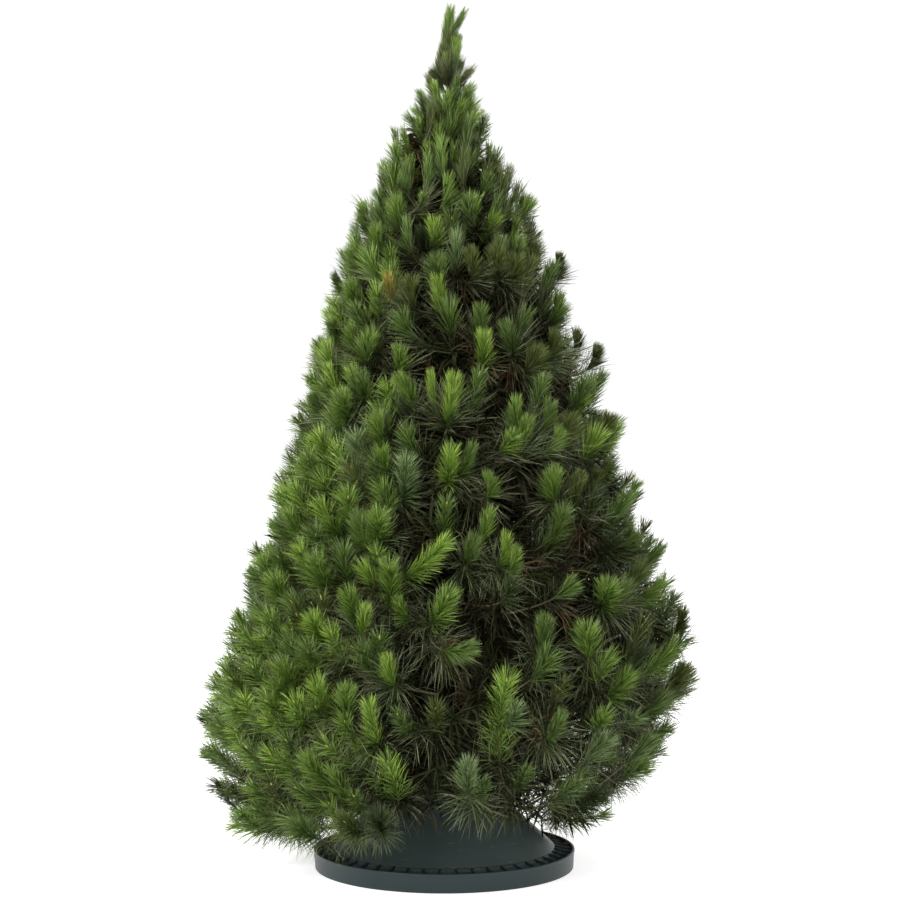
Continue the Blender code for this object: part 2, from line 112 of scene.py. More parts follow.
def add_piece(name, shape, finish, nodes, growth=None):
    """A piece from arrays of points and of faces: with growth, a triple for each point that the
    finish reads, it is smooth all over, and without it its edges are sharp past an angle."""
    points, faces = shape
    corners = np.concatenate([face.ravel() for face in faces]).astype(np.int32)
    sizes = np.concatenate([np.full(len(face), face.shape[1]) for face in faces])
    mesh = bpy.data.meshes.new(name)
    mesh.vertices.add(len(points))
    mesh.vertices.foreach_set("co", points.astype(np.float32).ravel())
    mesh.loops.add(len(corners))
    mesh.loops.foreach_set("vertex_index", corners)
    mesh.polygons.add(len(sizes))
    mesh.polygons.foreach_set("loop_start", np.r_[0, np.cumsum(sizes)[:-1]].astype(np.int32))
    mesh.polygons.foreach_set("use_smooth", np.ones(len(sizes), bool))
    mesh.update(calc_edges=True)
    if growth is not None:
        stored = mesh.attributes.new("growth", "FLOAT_VECTOR", "POINT")
        stored.data.foreach_set("vector", growth.astype(np.float32).ravel())
    else:
        mesh.set_sharp_from_angle(angle=math.radians(SHARP_PAST))
    mesh.materials.append(finish)
    piece = bpy.data.objects.new(name, mesh)
    bpy.context.scene.collection.objects.link(piece)
    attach(piece, "root")
    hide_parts(*nodes)


def feed(tree, made, values):
    """Sets a shader node's sockets, by number or by name, and its settings by name. An output
    among the values is linked to its socket."""
    for key, value in values.items():
        label = key if isinstance(key, int) else key.replace("_", " ")
        if isinstance(key, str) and label not in made.inputs:
            setattr(made, key, value)
        elif isinstance(value, bpy.types.NodeSocket):
            tree.links.new(value, made.inputs[label])
        else:
            made.inputs[label].default_value = value


def node(tree, kind, *feeds, output=0, **values):
    """An output of a new shader node that is given settings and sockets by name, and feeds for
    its sockets in their order."""
    made = tree.nodes.new("ShaderNode" + kind)
    feed(tree, made, {**values, **dict(enumerate(feeds))})
    return made.outputs[output]


def mixed(tree, share, first, second):
    """The colour at a share of the way from one colour to another."""
    made = tree.nodes.new("ShaderNodeMix")
    feed(tree, made, {"data_type": "RGBA", 0: share, 6: first, 7: second})
    return made.outputs[2]


def scaled(tree, *feeds, clamp=False):
    """Two values multiplied, and a third added where there is one."""
    operation = "MULTIPLY" if len(feeds) == 2 else "MULTIPLY_ADD"
    return node(tree, "Math", *feeds, operation=operation, use_clamp=clamp)


def new_group(name, inputs, outputs):
    """An empty node group, with its inputs and outputs by their names and kinds."""
    group = bpy.data.node_groups.new(name, "ShaderNodeTree")
    for way, sockets in (("INPUT", inputs), ("OUTPUT", outputs)):
        for label, kind in sockets.items():
            group.interface.new_socket(label, in_out=way, socket_type="NodeSocket" + kind)
    return group, group.nodes.new("NodeGroupInput").outputs, group.nodes.new("NodeGroupOutput")


def new_finish(name, roughness, **sockets):
    """A material, its node tree and its shader, with the values that are the same all over."""
    finish = bpy.data.materials.new(name)
    finish.use_nodes = True
    shader = finish.node_tree.nodes["Principled BSDF"]
    feed(finish.node_tree, shader, {"Roughness": roughness, **sockets})
    return finish, finish.node_tree, shader


def moulded_wear():
    """The look of moulded plastic that has been used: a fine leathery grain, cloudy patches, and
    long pale scuffs where a stretched noise passes a threshold."""
    group, given, out = new_group(
        "moulded_wear", {"Base": "Color", "Worn": "Color", "Scuffs": "Float"},
        {"Color": "Color", "Roughness": "Float", "Height": "Float"},
    )
    place = node(group, "TexCoord", output="Object")
    clouds = node(group, "TexNoise", place, Scale=7.0, Detail=4.0)
    grain = node(group, "TexNoise", place, Scale=900.0, Detail=2.0)
    stretched = node(group, "Mapping", place, Scale=(30.0, 30.0, 220.0))
    scratch = node(group, "TexNoise", stretched, Scale=1.0, Detail=6.0, Roughness=0.7)
    marks = node(group, "MapRange", scratch, From_Min=0.60, From_Max=0.74)
    haze = scaled(group, clouds, 0.30, scaled(group, marks, given["Scuffs"]))
    tint = mixed(group, haze, given["Base"], given["Worn"])
    rough = node(group, "MapRange", haze, To_Min=0.36, To_Max=0.62)
    feed(group, out, {"Color": tint, "Roughness": rough, "Height": grain})
    return group


def plastic_finish(name, base, worn, scuffs, gloss):
    """One moulded plastic finish, from the wear that they all share."""
    finish, tree, shader = new_finish(name, 0.45, Specular_IOR_Level=gloss)
    shared = bpy.data.node_groups.get("moulded_wear") or moulded_wear()
    wear = node(tree, "Group", node_tree=shared, Base=base, Worn=worn, Scuffs=scuffs).node.outputs
    bump = node(tree, "Bump", Strength=0.12, Distance=0.0004, Height=wear["Height"])
    looks = {"Base Color": wear["Color"], "Roughness": wear["Roughness"], "Normal": bump}
    feed(tree, shader, looks)
    return finish


def extruded_round(outline, thickness, count):
    """A flat outline of (radius, height) given a thickness across, and set count times round Z:
    at turn a, (r cos a - t sin a, r sin a + t cos a, h) for t to either side."""
    n = len(outline)
    r, h = np.tile(outline, (2, 1)).T
    t = np.repeat([-thickness / 2, thickness / 2], n)
    turns = (np.arange(count) + 0.5)[:, None] * math.tau / count
    x = r * np.cos(turns) - t * np.sin(turns)
    y = r * np.sin(turns) + t * np.cos(turns)
    points = np.stack([x, y, np.broadcast_to(h, x.shape)], -1).reshape(-1, 3)
    here = np.arange(n)
    beside = (here + 1) % n
    sides = np.stack([here, beside, beside + n, here + n], -1)
    ends = np.stack([here[::-1], here + n])
    step = (np.arange(count) * 2 * n)[:, None, None]
    return points, [(sides + step).reshape(-1, 4), (ends + step).reshape(-1, n)]


wall = TRAY_RADIUS - TRAY_WALL
tray_line = [
    (0, TRAY_WALL), (wall, TRAY_WALL), (wall - 0.0006, TRAY_HEIGHT - 0.004),
    (wall - 0.0012, TRAY_HEIGHT), (TRAY_RADIUS, TRAY_HEIGHT), (TRAY_RADIUS, TRAY_HEIGHT - 0.006),
    (TRAY_RADIUS - 0.0012, TRAY_HEIGHT - 0.0075), (TRAY_RADIUS - 0.003, 0.0), (0, 0),
]
tray_ease = [0, 0.0015, 0.0004, 0.0018, 0.0022, 0.0006, 0.0008, 0.0020, 0]
web_line = np.array([
    (WEB_INNER, WEB_FOOT), (WEB_OUTER, WEB_FOOT), (WEB_OUTER, 0.038), (0.279, 0.041),
    (0.2600, 0.0455), (0.2535, 0.0455), (0.2535, 0.0395), (0.2680, 0.0370), (WEB_INNER, 0.0290),
])
tray_plastic = plastic_finish("tray_plastic", PLASTIC, PLASTIC_WORN, scuffs=0.55, gloss=0.28)
tray_body = turned(eased(tray_line, tray_ease), STAND_SIDES)
tray = joined(tray_body, extruded_round(web_line, WEB_THICK, WEB_COUNT))
add_piece("tray", tray, tray_plastic, ["stand_tray"])


# ---- Stand dome
# The hollow dome that stands in the tray, of the same plastic: a foot with a slot over it for
# the tray's webs, a long slope, and a collar round the well that takes the trunk, with a boss
# for each screw.

DOME_RADIUS, DOME_FOOT, DOME_TOP, DOME_WALL = 0.276, 0.030, 0.215, 0.004
COLLAR_RADIUS, COLLAR_TOP, WELL_RADIUS = 0.080, 0.245, 0.066
GAP = 0.0003  # between parts that rest on each other
BOSS_RADIUS, BOSS_LENGTH, BOSS_OUT, BOSS_SIDES = 0.011, 0.0075, 0.0785, 6
SCREW_COUNT, SCREW_FIRST, SCREW_HEIGHT = 3, 30, 0.230
DOME_TONE, DOME_WORN = (0.028, 0.044, 0.041, 1), (0.120, 0.148, 0.142, 1)
TRUNK_BOW, TRUNK_TOP, TIP_LEAN, LEAN_START = 0.030, 1.80, 0.016, 1.55

seat = TRAY_WALL + GAP
slope = (DOME_TOP - DOME_FOOT) / (DOME_RADIUS - COLLAR_RADIUS)
under, well = DOME_FOOT - 0.5 * DOME_WALL, WELL_RADIUS + DOME_WALL
foot_inside = DOME_RADIUS - DOME_WALL
dome_line = [
    (0, seat + DOME_WALL), (WELL_RADIUS, seat + DOME_WALL), (WELL_RADIUS, COLLAR_TOP),
    (COLLAR_RADIUS, COLLAR_TOP), (COLLAR_RADIUS, DOME_TOP), (0.2575, 0.0474), (0.2528, 0.0466),
    (0.2528, 0.0388), (0.2668, 0.0386), (DOME_RADIUS - 0.003, DOME_FOOT + 0.0055),
    (DOME_RADIUS, DOME_FOOT + 0.002), (DOME_RADIUS, seat), (foot_inside, seat),
    (foot_inside, under), (well, under + slope * (foot_inside - well)), (well, seat), (0, seat),
]
dome_ease = [
    0, 0.006, 0.003, 0.004, 0.012, 0.0012, 0.0006, 0.0010, 0.0012, 0.002, 0.002, 0.0008, 0.0008,
    0.002, 0.004, 0.001, 0,
]


def trunk_middle(z):
    """The trunk's middle at a height: a bow to +X and a little back, the square of a half sine
    wave, and near the tip a lean to +X that grows with the square of the height."""
    bow = TRUNK_BOW * np.sin(math.pi * z / TRUNK_TOP) ** 2
    lean = TIP_LEAN * np.maximum(0.0, (z - LEAN_START) / (TRUNK_TOP - LEAN_START)) ** 2
    return np.stack([bow + lean, 0.4 * bow, z * np.ones_like(bow)], -1)


def placed(shape, middle, out, across):
    """A shape whose Z becomes the way out, its X the way across, set on a middle."""
    up = np.cross(out, across)
    points, faces = shape
    return middle + points @ np.array([across, up, out]), faces


def screw_places():
    """For each clamp screw: the trunk's middle, the way out from it, and the way across."""
    for i in range(SCREW_COUNT):
        turn = math.tau * i / SCREW_COUNT + math.radians(SCREW_FIRST)
        out = np.array((math.cos(turn), math.sin(turn), 0.0))
        yield trunk_middle(SCREW_HEIGHT), out, np.array((-out[1], out[0], 0.0))


boss_line = [(0, BOSS_LENGTH), (BOSS_RADIUS, BOSS_LENGTH), (BOSS_RADIUS, 0.0), (0, 0.0)]
boss = turned(eased(boss_line, [0, 0.0015, 0.001, 0]), BOSS_SIDES)
bosses = [
    placed(boss, middle + BOSS_OUT * out - (middle @ out) * out, out, across)
    for middle, out, across in screw_places()
]
dome_plastic = plastic_finish("dome_plastic", DOME_TONE, DOME_WORN, scuffs=0.95, gloss=0.40)
dome = joined(turned(eased(dome_line, dome_ease), STAND_SIDES), *bosses)
add_piece("dome", dome, dome_plastic, ["stand_dome"])


# ---- Clamp screws
# Three zinc-plated steel screws that run through the collar and press on the bark. Each has a
# rolled thread, a pressed pad at its inner end, and a cross bar with rounded ends to turn it by.

SCREW_RADIUS, SCREW_LENGTH, BAR_LENGTH = 0.004, 0.105, 0.044
THREAD_PITCH, THREAD_DEPTH, THREAD_FADE, POINT_TAPER = 0.0025, 0.0005, 0.004, 0.0012
ROWS_A_PITCH, SCREW_SIDES, PAD_SIDES, BAR_SIDES = 5, 16, 32, 20
BUTT_RADIUS, TRUNK_TIP_RADIUS = 0.038, 0.0035


def trunk_radius(z):
    """The trunk's radius: it falls from butt to tip with the share of the height left above,
    raised to the power 0.9."""
    left = np.maximum(0.0, 1 - z / TRUNK_TOP)
    return TRUNK_TIP_RADIUS + (BUTT_RADIUS - TRUNK_TIP_RADIUS) * left**0.9


def threaded_rod(start, length, radius):
    """A rod along Z whose radius is less by a depth times the distance of the turn and height
    from the thread's crest, counted in pitches; its ends are smooth and closed."""
    rows, sides = round(length / THREAD_PITCH * ROWS_A_PITCH), SCREW_SIDES
    z = np.linspace(0, length, rows)[:, None]
    turns = np.arange(sides) * math.tau / sides
    phase = (z / THREAD_PITCH - turns / math.tau) % 1.0
    cut = THREAD_DEPTH * np.abs(2 * phase - 1) * np.clip((length - z) / THREAD_FADE - 2, 0, 1)
    r = (radius - cut) * np.clip(z / POINT_TAPER + 0.6, 0, 1)
    rings = np.stack([r * np.cos(turns), r * np.sin(turns), z + 0 * turns], -1).reshape(-1, 3)
    rings[:, 2] += start
    foot, head = np.arange(sides)[None, ::-1], (rows - 1) * sides + np.arange(sides)[None]
    return rings, [grid_quads(rows, sides)[:, ::-1], foot, head]


zinc, tree, shader = new_finish("zinc_plate", 0.34, Metallic=1.0)
place = node(tree, "TexCoord", output="Object")
spangle = node(tree, "TexVoronoi", place, Scale=420.0)
dulled = node(tree, "TexNoise", place, Scale=60.0, Detail=5.0)
tone = mixed(tree, dulled, (0.62, 0.61, 0.58, 1), (0.40, 0.38, 0.34, 1))
rough = node(tree, "MapRange", spangle, To_Min=0.24, To_Max=0.55)
feed(tree, shader, {"Base Color": tone, "Roughness": rough})

pad_line = [(0, 0.0036), (0.0044, 0.0036), (0.0068, 0.0024), (0.0068, 0.0), (0, 0.0)]
pad_line = eased(pad_line, [0, 0.0006, 0.0006, 0.0008, 0])
half_bar = BAR_LENGTH / 2
bar_line = [(0, half_bar), (0.0032, half_bar), (0.0032, -half_bar), (0, -half_bar)]
bar_line = eased(bar_line, [0, 0.0026, 0.0026, 0])
for number, (middle, out, across) in enumerate(screw_places()):
    start = trunk_radius(SCREW_HEIGHT) + 2 * GAP
    rod = placed(threaded_rod(start, SCREW_LENGTH, SCREW_RADIUS), middle, out, across)
    pad = placed(turned(pad_line, PAD_SIDES), middle + start * out, out, across)
    head = middle + (start + SCREW_LENGTH - 1.5 * SCREW_RADIUS) * out
    bar = placed(turned(bar_line, BAR_SIDES), head, across, out)
    name = f"clamp_screw_{number + 1}"
    add_piece(f"screw_{number + 1}", joined(rod, pad, bar), zinc, [name])


# ---- Trunk
# The cut stem of the tree, from its sawn butt in the well to the foot of the leader. Grey-brown
# bark lies on it in long plates low down, smoother higher up, with a swelling at each whorl.

BUTT_Z = 2 * (TRAY_WALL + GAP)
TRUNK_ROWS, TRUNK_SIDES, PLATE_DEPTH = 260, 48, 0.0026
KNOT_BELOW, KNOT_HALF, STRAIGHT_BELOW = 0.006, 0.013, 0.12
# The whorls, from the lowest: how many boughs, the height where they leave the trunk, the height
# and the slope where their line comes out of the foliage, and the first one's way in degrees
WHORLS = (
    (6, 0.340, 0.22, 0.40, 0),
    (6, 0.460, 0.50, 0.65, 30),
    (5, 0.640, 0.82, 0.90, 54),
    (4, 0.860, 1.12, 1.30, 0),
    (3, 1.080, 1.38, 1.80, 30),
    (3, 1.300, 1.62, 2.90, 90),
)


def bark_plates(turn, run, scale, seed):
    """The height of bark, 0 in a furrow to 1 on a plate: the least of three waves round and
    along the limb, each folded at zero, and bent by slower waves so that none runs straight."""
    random = np.random.default_rng(seed)
    bend = sum(
        random.uniform(0.2, 0.7) * np.sin(k * turn + run * scale * w + random.uniform(0, 6.28))
        for k, w in ((1, 9.0), (2, 17.0), (3, 31.0), (2, 53.0))
    )
    furrow = np.abs(np.sin(4.5 * turn + bend + 0.8 * np.sin(run * scale * 21.0)))
    finer = np.abs(np.sin(9.0 * turn - 1.7 * bend + run * scale * 37.0))
    cross = np.abs(np.sin(run * scale * 46.0 + 2.4 * np.sin(2 * turn + bend)))
    plates = np.minimum(np.minimum(furrow, 0.25 + finer), 0.35 + cross)
    return np.clip(plates * 1.6, 0, 1)


def stored_growth(tree):
    """The three values that a piece stores at each point."""
    stored = node(tree, "Attribute", output="Vector", attribute_name="growth")
    return node(tree, "SeparateXYZ", stored).node.outputs


def bark_finish(name, furrow, plate, lichen, cracks):
    """A bark: furrow and plate colours mixed by the stored height and a noise along the wood,
    the colour of lichen where a slower noise is high, and a bump of fine fibres."""
    finish, tree, shader = new_finish(name, 0.88)
    place = node(tree, "TexCoord", output="Object")
    grain = node(tree, "Mapping", place, Scale=(cracks, cracks, cracks * 0.25))
    fibre = node(tree, "TexNoise", grain, Scale=1.0, Detail=8.0, Roughness=0.65)
    patch = node(tree, "TexNoise", place, Scale=22.0, Detail=3.0)
    depth = scaled(tree, stored_growth(tree)["X"], 0.75, -0.38)
    raised = scaled(tree, fibre, 0.9, depth, clamp=True)
    patches = node(tree, "MapRange", patch, From_Min=0.5, From_Max=0.75, To_Max=0.7)
    aged = mixed(tree, patches, mixed(tree, raised, furrow, plate), lichen)
    bump = node(tree, "Bump", Strength=0.5, Distance=0.0012, Height=raised)
    feed(tree, shader, {"Base Color": aged, "Normal": bump})
    return finish


def bark_growth(height):
    """What a bark stores at each point: its height, and two noughts."""
    return np.stack([height, 0 * height, 0 * height], -1).reshape(-1, 3)


z = np.linspace(BUTT_Z, TRUNK_TOP, TRUNK_ROWS)[:, None]
turn = (np.arange(TRUNK_SIDES) * math.tau / TRUNK_SIDES)[None]
plates = bark_plates(turn, z, 1.0, 11)
age = np.clip(1.15 - z / TRUNK_TOP, 0.15, 1.0)
knots = sum(np.exp(-(((z - whorl[1] + KNOT_BELOW) / KNOT_HALF) ** 2)) for whorl in WHORLS)
swelling = 0.08 * trunk_radius(z) * knots * (0.6 + 0.4 * np.cos(3 * turn))
r = trunk_radius(z) * (1 + 0.02 * np.sin(2 * turn + 7 * z)) + swelling
r = r - PLATE_DEPTH * age**1.3 * (1 - plates) * np.minimum(1, trunk_radius(z) / 0.03)
centre = trunk_middle(z[:, 0])
straight = trunk_middle(np.full(TRUNK_ROWS, STRAIGHT_BELOW))
centre[:, :2] = np.where(z < STRAIGHT_BELOW, straight[:, :2], centre[:, :2])
points = centre[:, None] + np.stack([r * np.cos(turn), r * np.sin(turn), 0 * r], -1)
foot = np.arange(TRUNK_SIDES)[None, ::-1]
top = (TRUNK_ROWS - 1) * TRUNK_SIDES + np.arange(TRUNK_SIDES)[None]
trunk = points.reshape(-1, 3), [grid_quads(TRUNK_ROWS, TRUNK_SIDES)[:, ::-1], foot, top]
old_bark = bark_finish(
    "old_bark", (0.020, 0.013, 0.009, 1), (0.130, 0.095, 0.068, 1), (0.165, 0.150, 0.120, 1), 160.0
)
add_piece("trunk_bark", trunk, old_bark, ["trunk"], bark_growth(plates))


# ---- Boughs
# The main limbs, in five whorls: they leave the trunk level or rising and run out along their
# whorl's line to where the foliage begins. Thinner, browner bark than the trunk's, and knotty.

# The outline of the foliage: height, radius, and how far its middle lies to +X of the stand's
OUTLINE = np.array([
    (0.04, 0.388, -0.036), (0.10, 0.455, -0.052), (0.18, 0.500, -0.062), (0.28, 0.548, -0.030),
    (0.38, 0.581, -0.003), (0.48, 0.578, 0.020), (0.60, 0.544, 0.037), (0.74, 0.500, 0.033),
    (0.88, 0.443, 0.031), (1.02, 0.402, 0.030), (1.16, 0.357, 0.030), (1.30, 0.291, 0.004),
    (1.44, 0.260, 0.010), (1.58, 0.196, 0.010), (1.72, 0.122, -0.006), (1.84, 0.062, 0.010),
    (1.92, 0.026, 0.016),
])
BOUGH_WHORLS, BOUGH_SHARE, STEM_RADIUS = 5, 0.36, 0.0042
BOUGH_ROWS, BOUGH_SIDES = 32, 14


def crown_radius(z):
    """The outline's radius at a height."""
    return np.interp(z, OUTLINE[:, 0], OUTLINE[:, 1])


def layer_height(whorl, radius):
    """The height of a whorl's line at a distance from the trunk: the parabola that leaves the
    trunk at one height and comes out of the foliage at another, with the slope given there."""
    _, leaves, comes_out, slope, _ = WHORLS[whorl]
    reach = crown_radius(comes_out)
    mean = (comes_out - leaves) / reach
    return leaves + (2 * mean - slope) * radius + (slope - mean) / reach * radius**2


def along(whorl, distance, azimuth):
    """Points on a whorl's line in a direction, at distances from the trunk's middle."""
    out = np.array((math.cos(azimuth), math.sin(azimuth), 0.0))
    return trunk_middle(layer_height(whorl, distance)) + np.multiply.outer(distance, out)


def tubes(paths, radii, sides):
    """Round limbs along many lines at once: round each point of a line, the ring of its radius
    square to the line's direction there. paths is (limbs, points, 3), radii (limbs, points) or
    (limbs, points, sides)."""
    limbs, count, _ = paths.shape
    ahead = unit(np.gradient(paths, axis=1))
    guide = unit(np.cross(unit(paths[:, -1] - paths[:, 0]), (0.31, 0.17, 0.93)))[:, None]
    across = unit(guide - (guide * ahead).sum(-1, keepdims=True) * ahead)[:, :, None]
    up = np.cross(ahead[:, :, None], across)
    turns = (np.arange(sides) * math.tau / sides)[None, None, :, None]
    radii = radii[..., None, None] if radii.ndim == 2 else radii[..., None]
    points = paths[:, :, None] + radii * (np.cos(turns) * across + np.sin(turns) * up)
    step = (np.arange(limbs) * count * sides)[:, None, None]
    quads = (grid_quads(count, sides)[None, :, ::-1] + step).reshape(-1, 4)
    ring = np.arange(sides)[None, None]
    ends = np.concatenate([ring[..., ::-1] + step, ring + (count - 1) * sides + step])
    return points.reshape(-1, 3), [quads, ends.reshape(-1, sides)]


bough_paths, bough_names, bough_root = [], [], []
for whorl in range(BOUGH_WHORLS):
    count, leaves, comes_out, _, first = WHORLS[whorl]
    reach = BOUGH_SHARE * crown_radius(comes_out)
    for index in range(count):
        azimuth = math.radians(first) + math.tau * index / count
        start = 0.75 * trunk_radius(leaves)
        bough_paths.append(along(whorl, np.linspace(start, reach, BOUGH_ROWS), azimuth))
        bough_names.append(f"bough_{whorl + 1}_{index + 1}")
        bough_root.append(0.36 * trunk_radius(leaves))
bough_paths, bough_root = np.array(bough_paths), np.array(bough_root)[:, None]
share = np.linspace(0, 1, BOUGH_ROWS)[None]
bough_radii = bough_root + (STEM_RADIUS - bough_root) * share
flare = 0.45 * bough_root * np.exp(-share * 14)
turn = (np.arange(BOUGH_SIDES) * math.tau / BOUGH_SIDES)[None, None]
run = share[..., None] * 0.2 + np.arange(len(bough_paths))[:, None, None]
plates = bark_plates(turn, run, 2.2, 23)
knots = np.maximum(0, np.sin(run * 97 + 3 * np.sin(run * 31))) ** 6
knots = knots * np.maximum(0, np.cos(turn - run * 7))
radii = (bough_radii + flare)[..., None] * (0.93 + 0.09 * plates + 0.22 * knots)
young_bark = bark_finish(
    "young_bark", (0.028, 0.018, 0.011, 1), (0.150, 0.105, 0.065, 1), (0.120, 0.105, 0.070, 1),
    260.0,
)
boughs = tubes(bough_paths, radii, BOUGH_SIDES)
add_piece("boughs", boughs, young_bark, bough_names, bark_growth(plates))


# ---- How the masses of foliage grow
# Each mass keeps to its own space: the sector round its bough, between the layers of the whorls
# below and above. One stem bears twigs there, and each twig ends in a shoot whose tip lies on
# the outline. Between those, finer twigs bear the rest of the shoots, a little inside it.

SEED = 4
SKIRT_FRONT, SKIRT_SIDE, SKIRT_BACK = 0.230, 0.070, 0.110
SPRAY_LENGTH, SPRAY_SLIMNESS, SPRAY_PITCH, SPRAY_TEETH = (0.175, 0.125), 0.30, (0.136, 0.112), 4
SPRAY_BELLY, SPRAY_NOTCH = 0.62, 0.45
# What is tried for a spray that doesn't fit: its size, and how much higher its foot
SPRAY_TRIES = ((1, 0), (0.85, 0), (1, 0.03), (0.85, 0.03), (0.7, 0.0), (0.7, 0.05), (0.55, 0))
STEM_JOINTS, TWIG_JOINTS, TESTED_AT = (0.35, 0.7, 0.98), (0.5, 0.9), (0.3, 0.6, 1.0)
SPACE_MARGIN, SKIRT_DEPTH = 0.004, 0.035
# How steeply shoots rise, in degrees, by height
SHOOT_RISE = ((0.0, 16), (0.3, 34), (0.6, 48), (1.0, 57), (1.4, 66), (1.7, 76), (2.0, 86))
CLEAR_OF_STAND, CLEAR_OF_SCREWS, RIM_MARGIN = 0.008, 0.012, 0.01


def crown_point(z, azimuth):
    """Where a level line from the trunk's middle meets the round outline."""
    middle = np.array((np.interp(z, OUTLINE[:, 0], OUTLINE[:, 2]), 0.0, z))
    start = trunk_middle(z)
    out = np.array((math.cos(azimuth), math.sin(azimuth), 0.0))
    aside, apart = (start - middle) @ out, (start - middle) @ (start - middle)
    return start + (math.sqrt(aside**2 - apart + crown_radius(z) ** 2) - aside) * out


def skirt(azimuth):
    """The lowest height of the foliage in a direction: from the sides' to the front's or the
    back's by the square of the sine."""
    lowest = SKIRT_BACK if math.sin(azimuth) > 0 else SKIRT_FRONT
    return SKIRT_SIDE + (lowest - SKIRT_SIDE) * math.sin(azimuth) ** 2


def stand_top(radius):
    """The height over which foliage clears the stand and its screws, by distance from the axis."""
    dome = DOME_FOOT + slope * np.maximum(0.0, DOME_RADIUS - radius)
    rim = np.where(radius < TRAY_RADIUS + RIM_MARGIN, np.maximum(dome, TRAY_HEIGHT), 0.0)
    over = COLLAR_TOP + CLEAR_OF_SCREWS
    return np.where(radius < COLLAR_RADIUS + SCREW_LENGTH / 2, over, rim + CLEAR_OF_STAND)


def clear_height(point):
    """The least height over the stand at a point's distance from the axis."""
    return stand_top(math.hypot(point[0], point[1]))


def layer_faces(whorl, azimuth, radius):
    """The heights of the bottom and the top of a whorl's layer: half-way to its neighbours'."""
    line = layer_height(whorl, radius)
    bottom = max(stand_top(radius), skirt(azimuth) - SKIRT_DEPTH)
    if whorl:
        bottom = (line + layer_height(whorl - 1, radius)) / 2
    top = TRUNK_TOP
    if whorl + 1 < len(WHORLS):
        top = (line + layer_height(whorl + 1, radius)) / 2
    return bottom, top


def outline_span(whorl, azimuth):
    """The heights between which a whorl's masses come out of the foliage."""
    low, high = skirt(azimuth), TRUNK_TOP
    if whorl:
        low = (WHORLS[whorl - 1][2] + WHORLS[whorl][2]) / 2
    if whorl + 1 < len(WHORLS):
        high = (WHORLS[whorl][2] + WHORLS[whorl + 1][2]) / 2
    return low, high


def room(mass, point):
    """How far inside its mass's space a point lies; negative outside it."""
    whorl, azimuth, half_width = mass
    away = point - trunk_middle(point[2])
    radius = math.hypot(away[0], away[1])
    turn = math.remainder(math.atan2(away[1], away[0]) - azimuth, math.tau)
    sides = radius * math.sin(half_width - abs(turn)) if abs(turn) < half_width else -1.0
    bottom, top = layer_faces(whorl, azimuth + turn, radius)
    return min(sides, top - point[2], point[2] - bottom, radius - trunk_radius(point[2]))


def shoot_direction(z, azimuth, more=0.0):
    """Young shoots turn up to the light: the higher on the tree, the steeper."""
    rise = math.radians(np.interp(z, *np.array(SHOOT_RISE).T) + more)
    flat = math.cos(rise)
    return np.array((flat * math.cos(azimuth), flat * math.sin(azimuth), math.sin(rise)))


def at_height(pair, z):
    """A size that changes evenly from the foot of the foliage to its top."""
    return pair[0] + (pair[1] - pair[0]) * min(1.0, z / TRUNK_TOP)


def spray_tips(mass, random):
    """Where the shoots of a mass end: rows over its patch of the outline, staggered by chance."""
    whorl, azimuth, half_width = mass
    low, high = outline_span(whorl, azimuth)
    pitch = at_height(SPRAY_PITCH, (low + high) / 2)
    rows = max(1, round((high - low) / pitch))
    for row in range(rows):
        z = low + (row + 0.55) * (high - low) / rows
        columns = max(1, round(2 * half_width * crown_radius(z) / pitch))
        for column in range(columns):
            share = (column + 0.5) / columns - 0.5 + random.uniform(-0.12, 0.12) / columns
            height = z + random.uniform(-0.22, 0.22) * pitch
            yield crown_point(height, azimuth + 2 * half_width * share)


def spray_ring(base, root, tip, turn):
    """The teeth round the belly of the solid spray, which must stay in the mass's space."""
    axis, twig = unit(tip - base), unit(base - root)
    side = np.cross(twig, axis)
    across = unit(side - (side @ axis) * axis)
    up = np.cross(axis, across)
    turns = turn + np.arange(2 * SPRAY_TEETH) * math.tau / (2 * SPRAY_TEETH)
    width = SPRAY_SLIMNESS * np.linalg.norm(tip - base) * np.tile([1, SPRAY_NOTCH], SPRAY_TEETH)
    spread = np.outer(np.cos(turns), across) + np.outer(np.sin(turns), up)
    return base + SPRAY_BELLY * (tip - base) + width[:, None] * spread


def nearest_parent(base, spots, ways):
    """The joint that a new twig grows from, that of least cost: its distance from the twig's
    base, times 1.9 less 0.9 times the cosine of the turn from the joint's own line."""
    reach = base - spots
    length = np.linalg.norm(reach, axis=1)
    cost = length * (1.9 - 0.9 * (reach * ways).sum(1) / np.maximum(length, 1e-6))
    return spots[int(np.argmin(cost))]


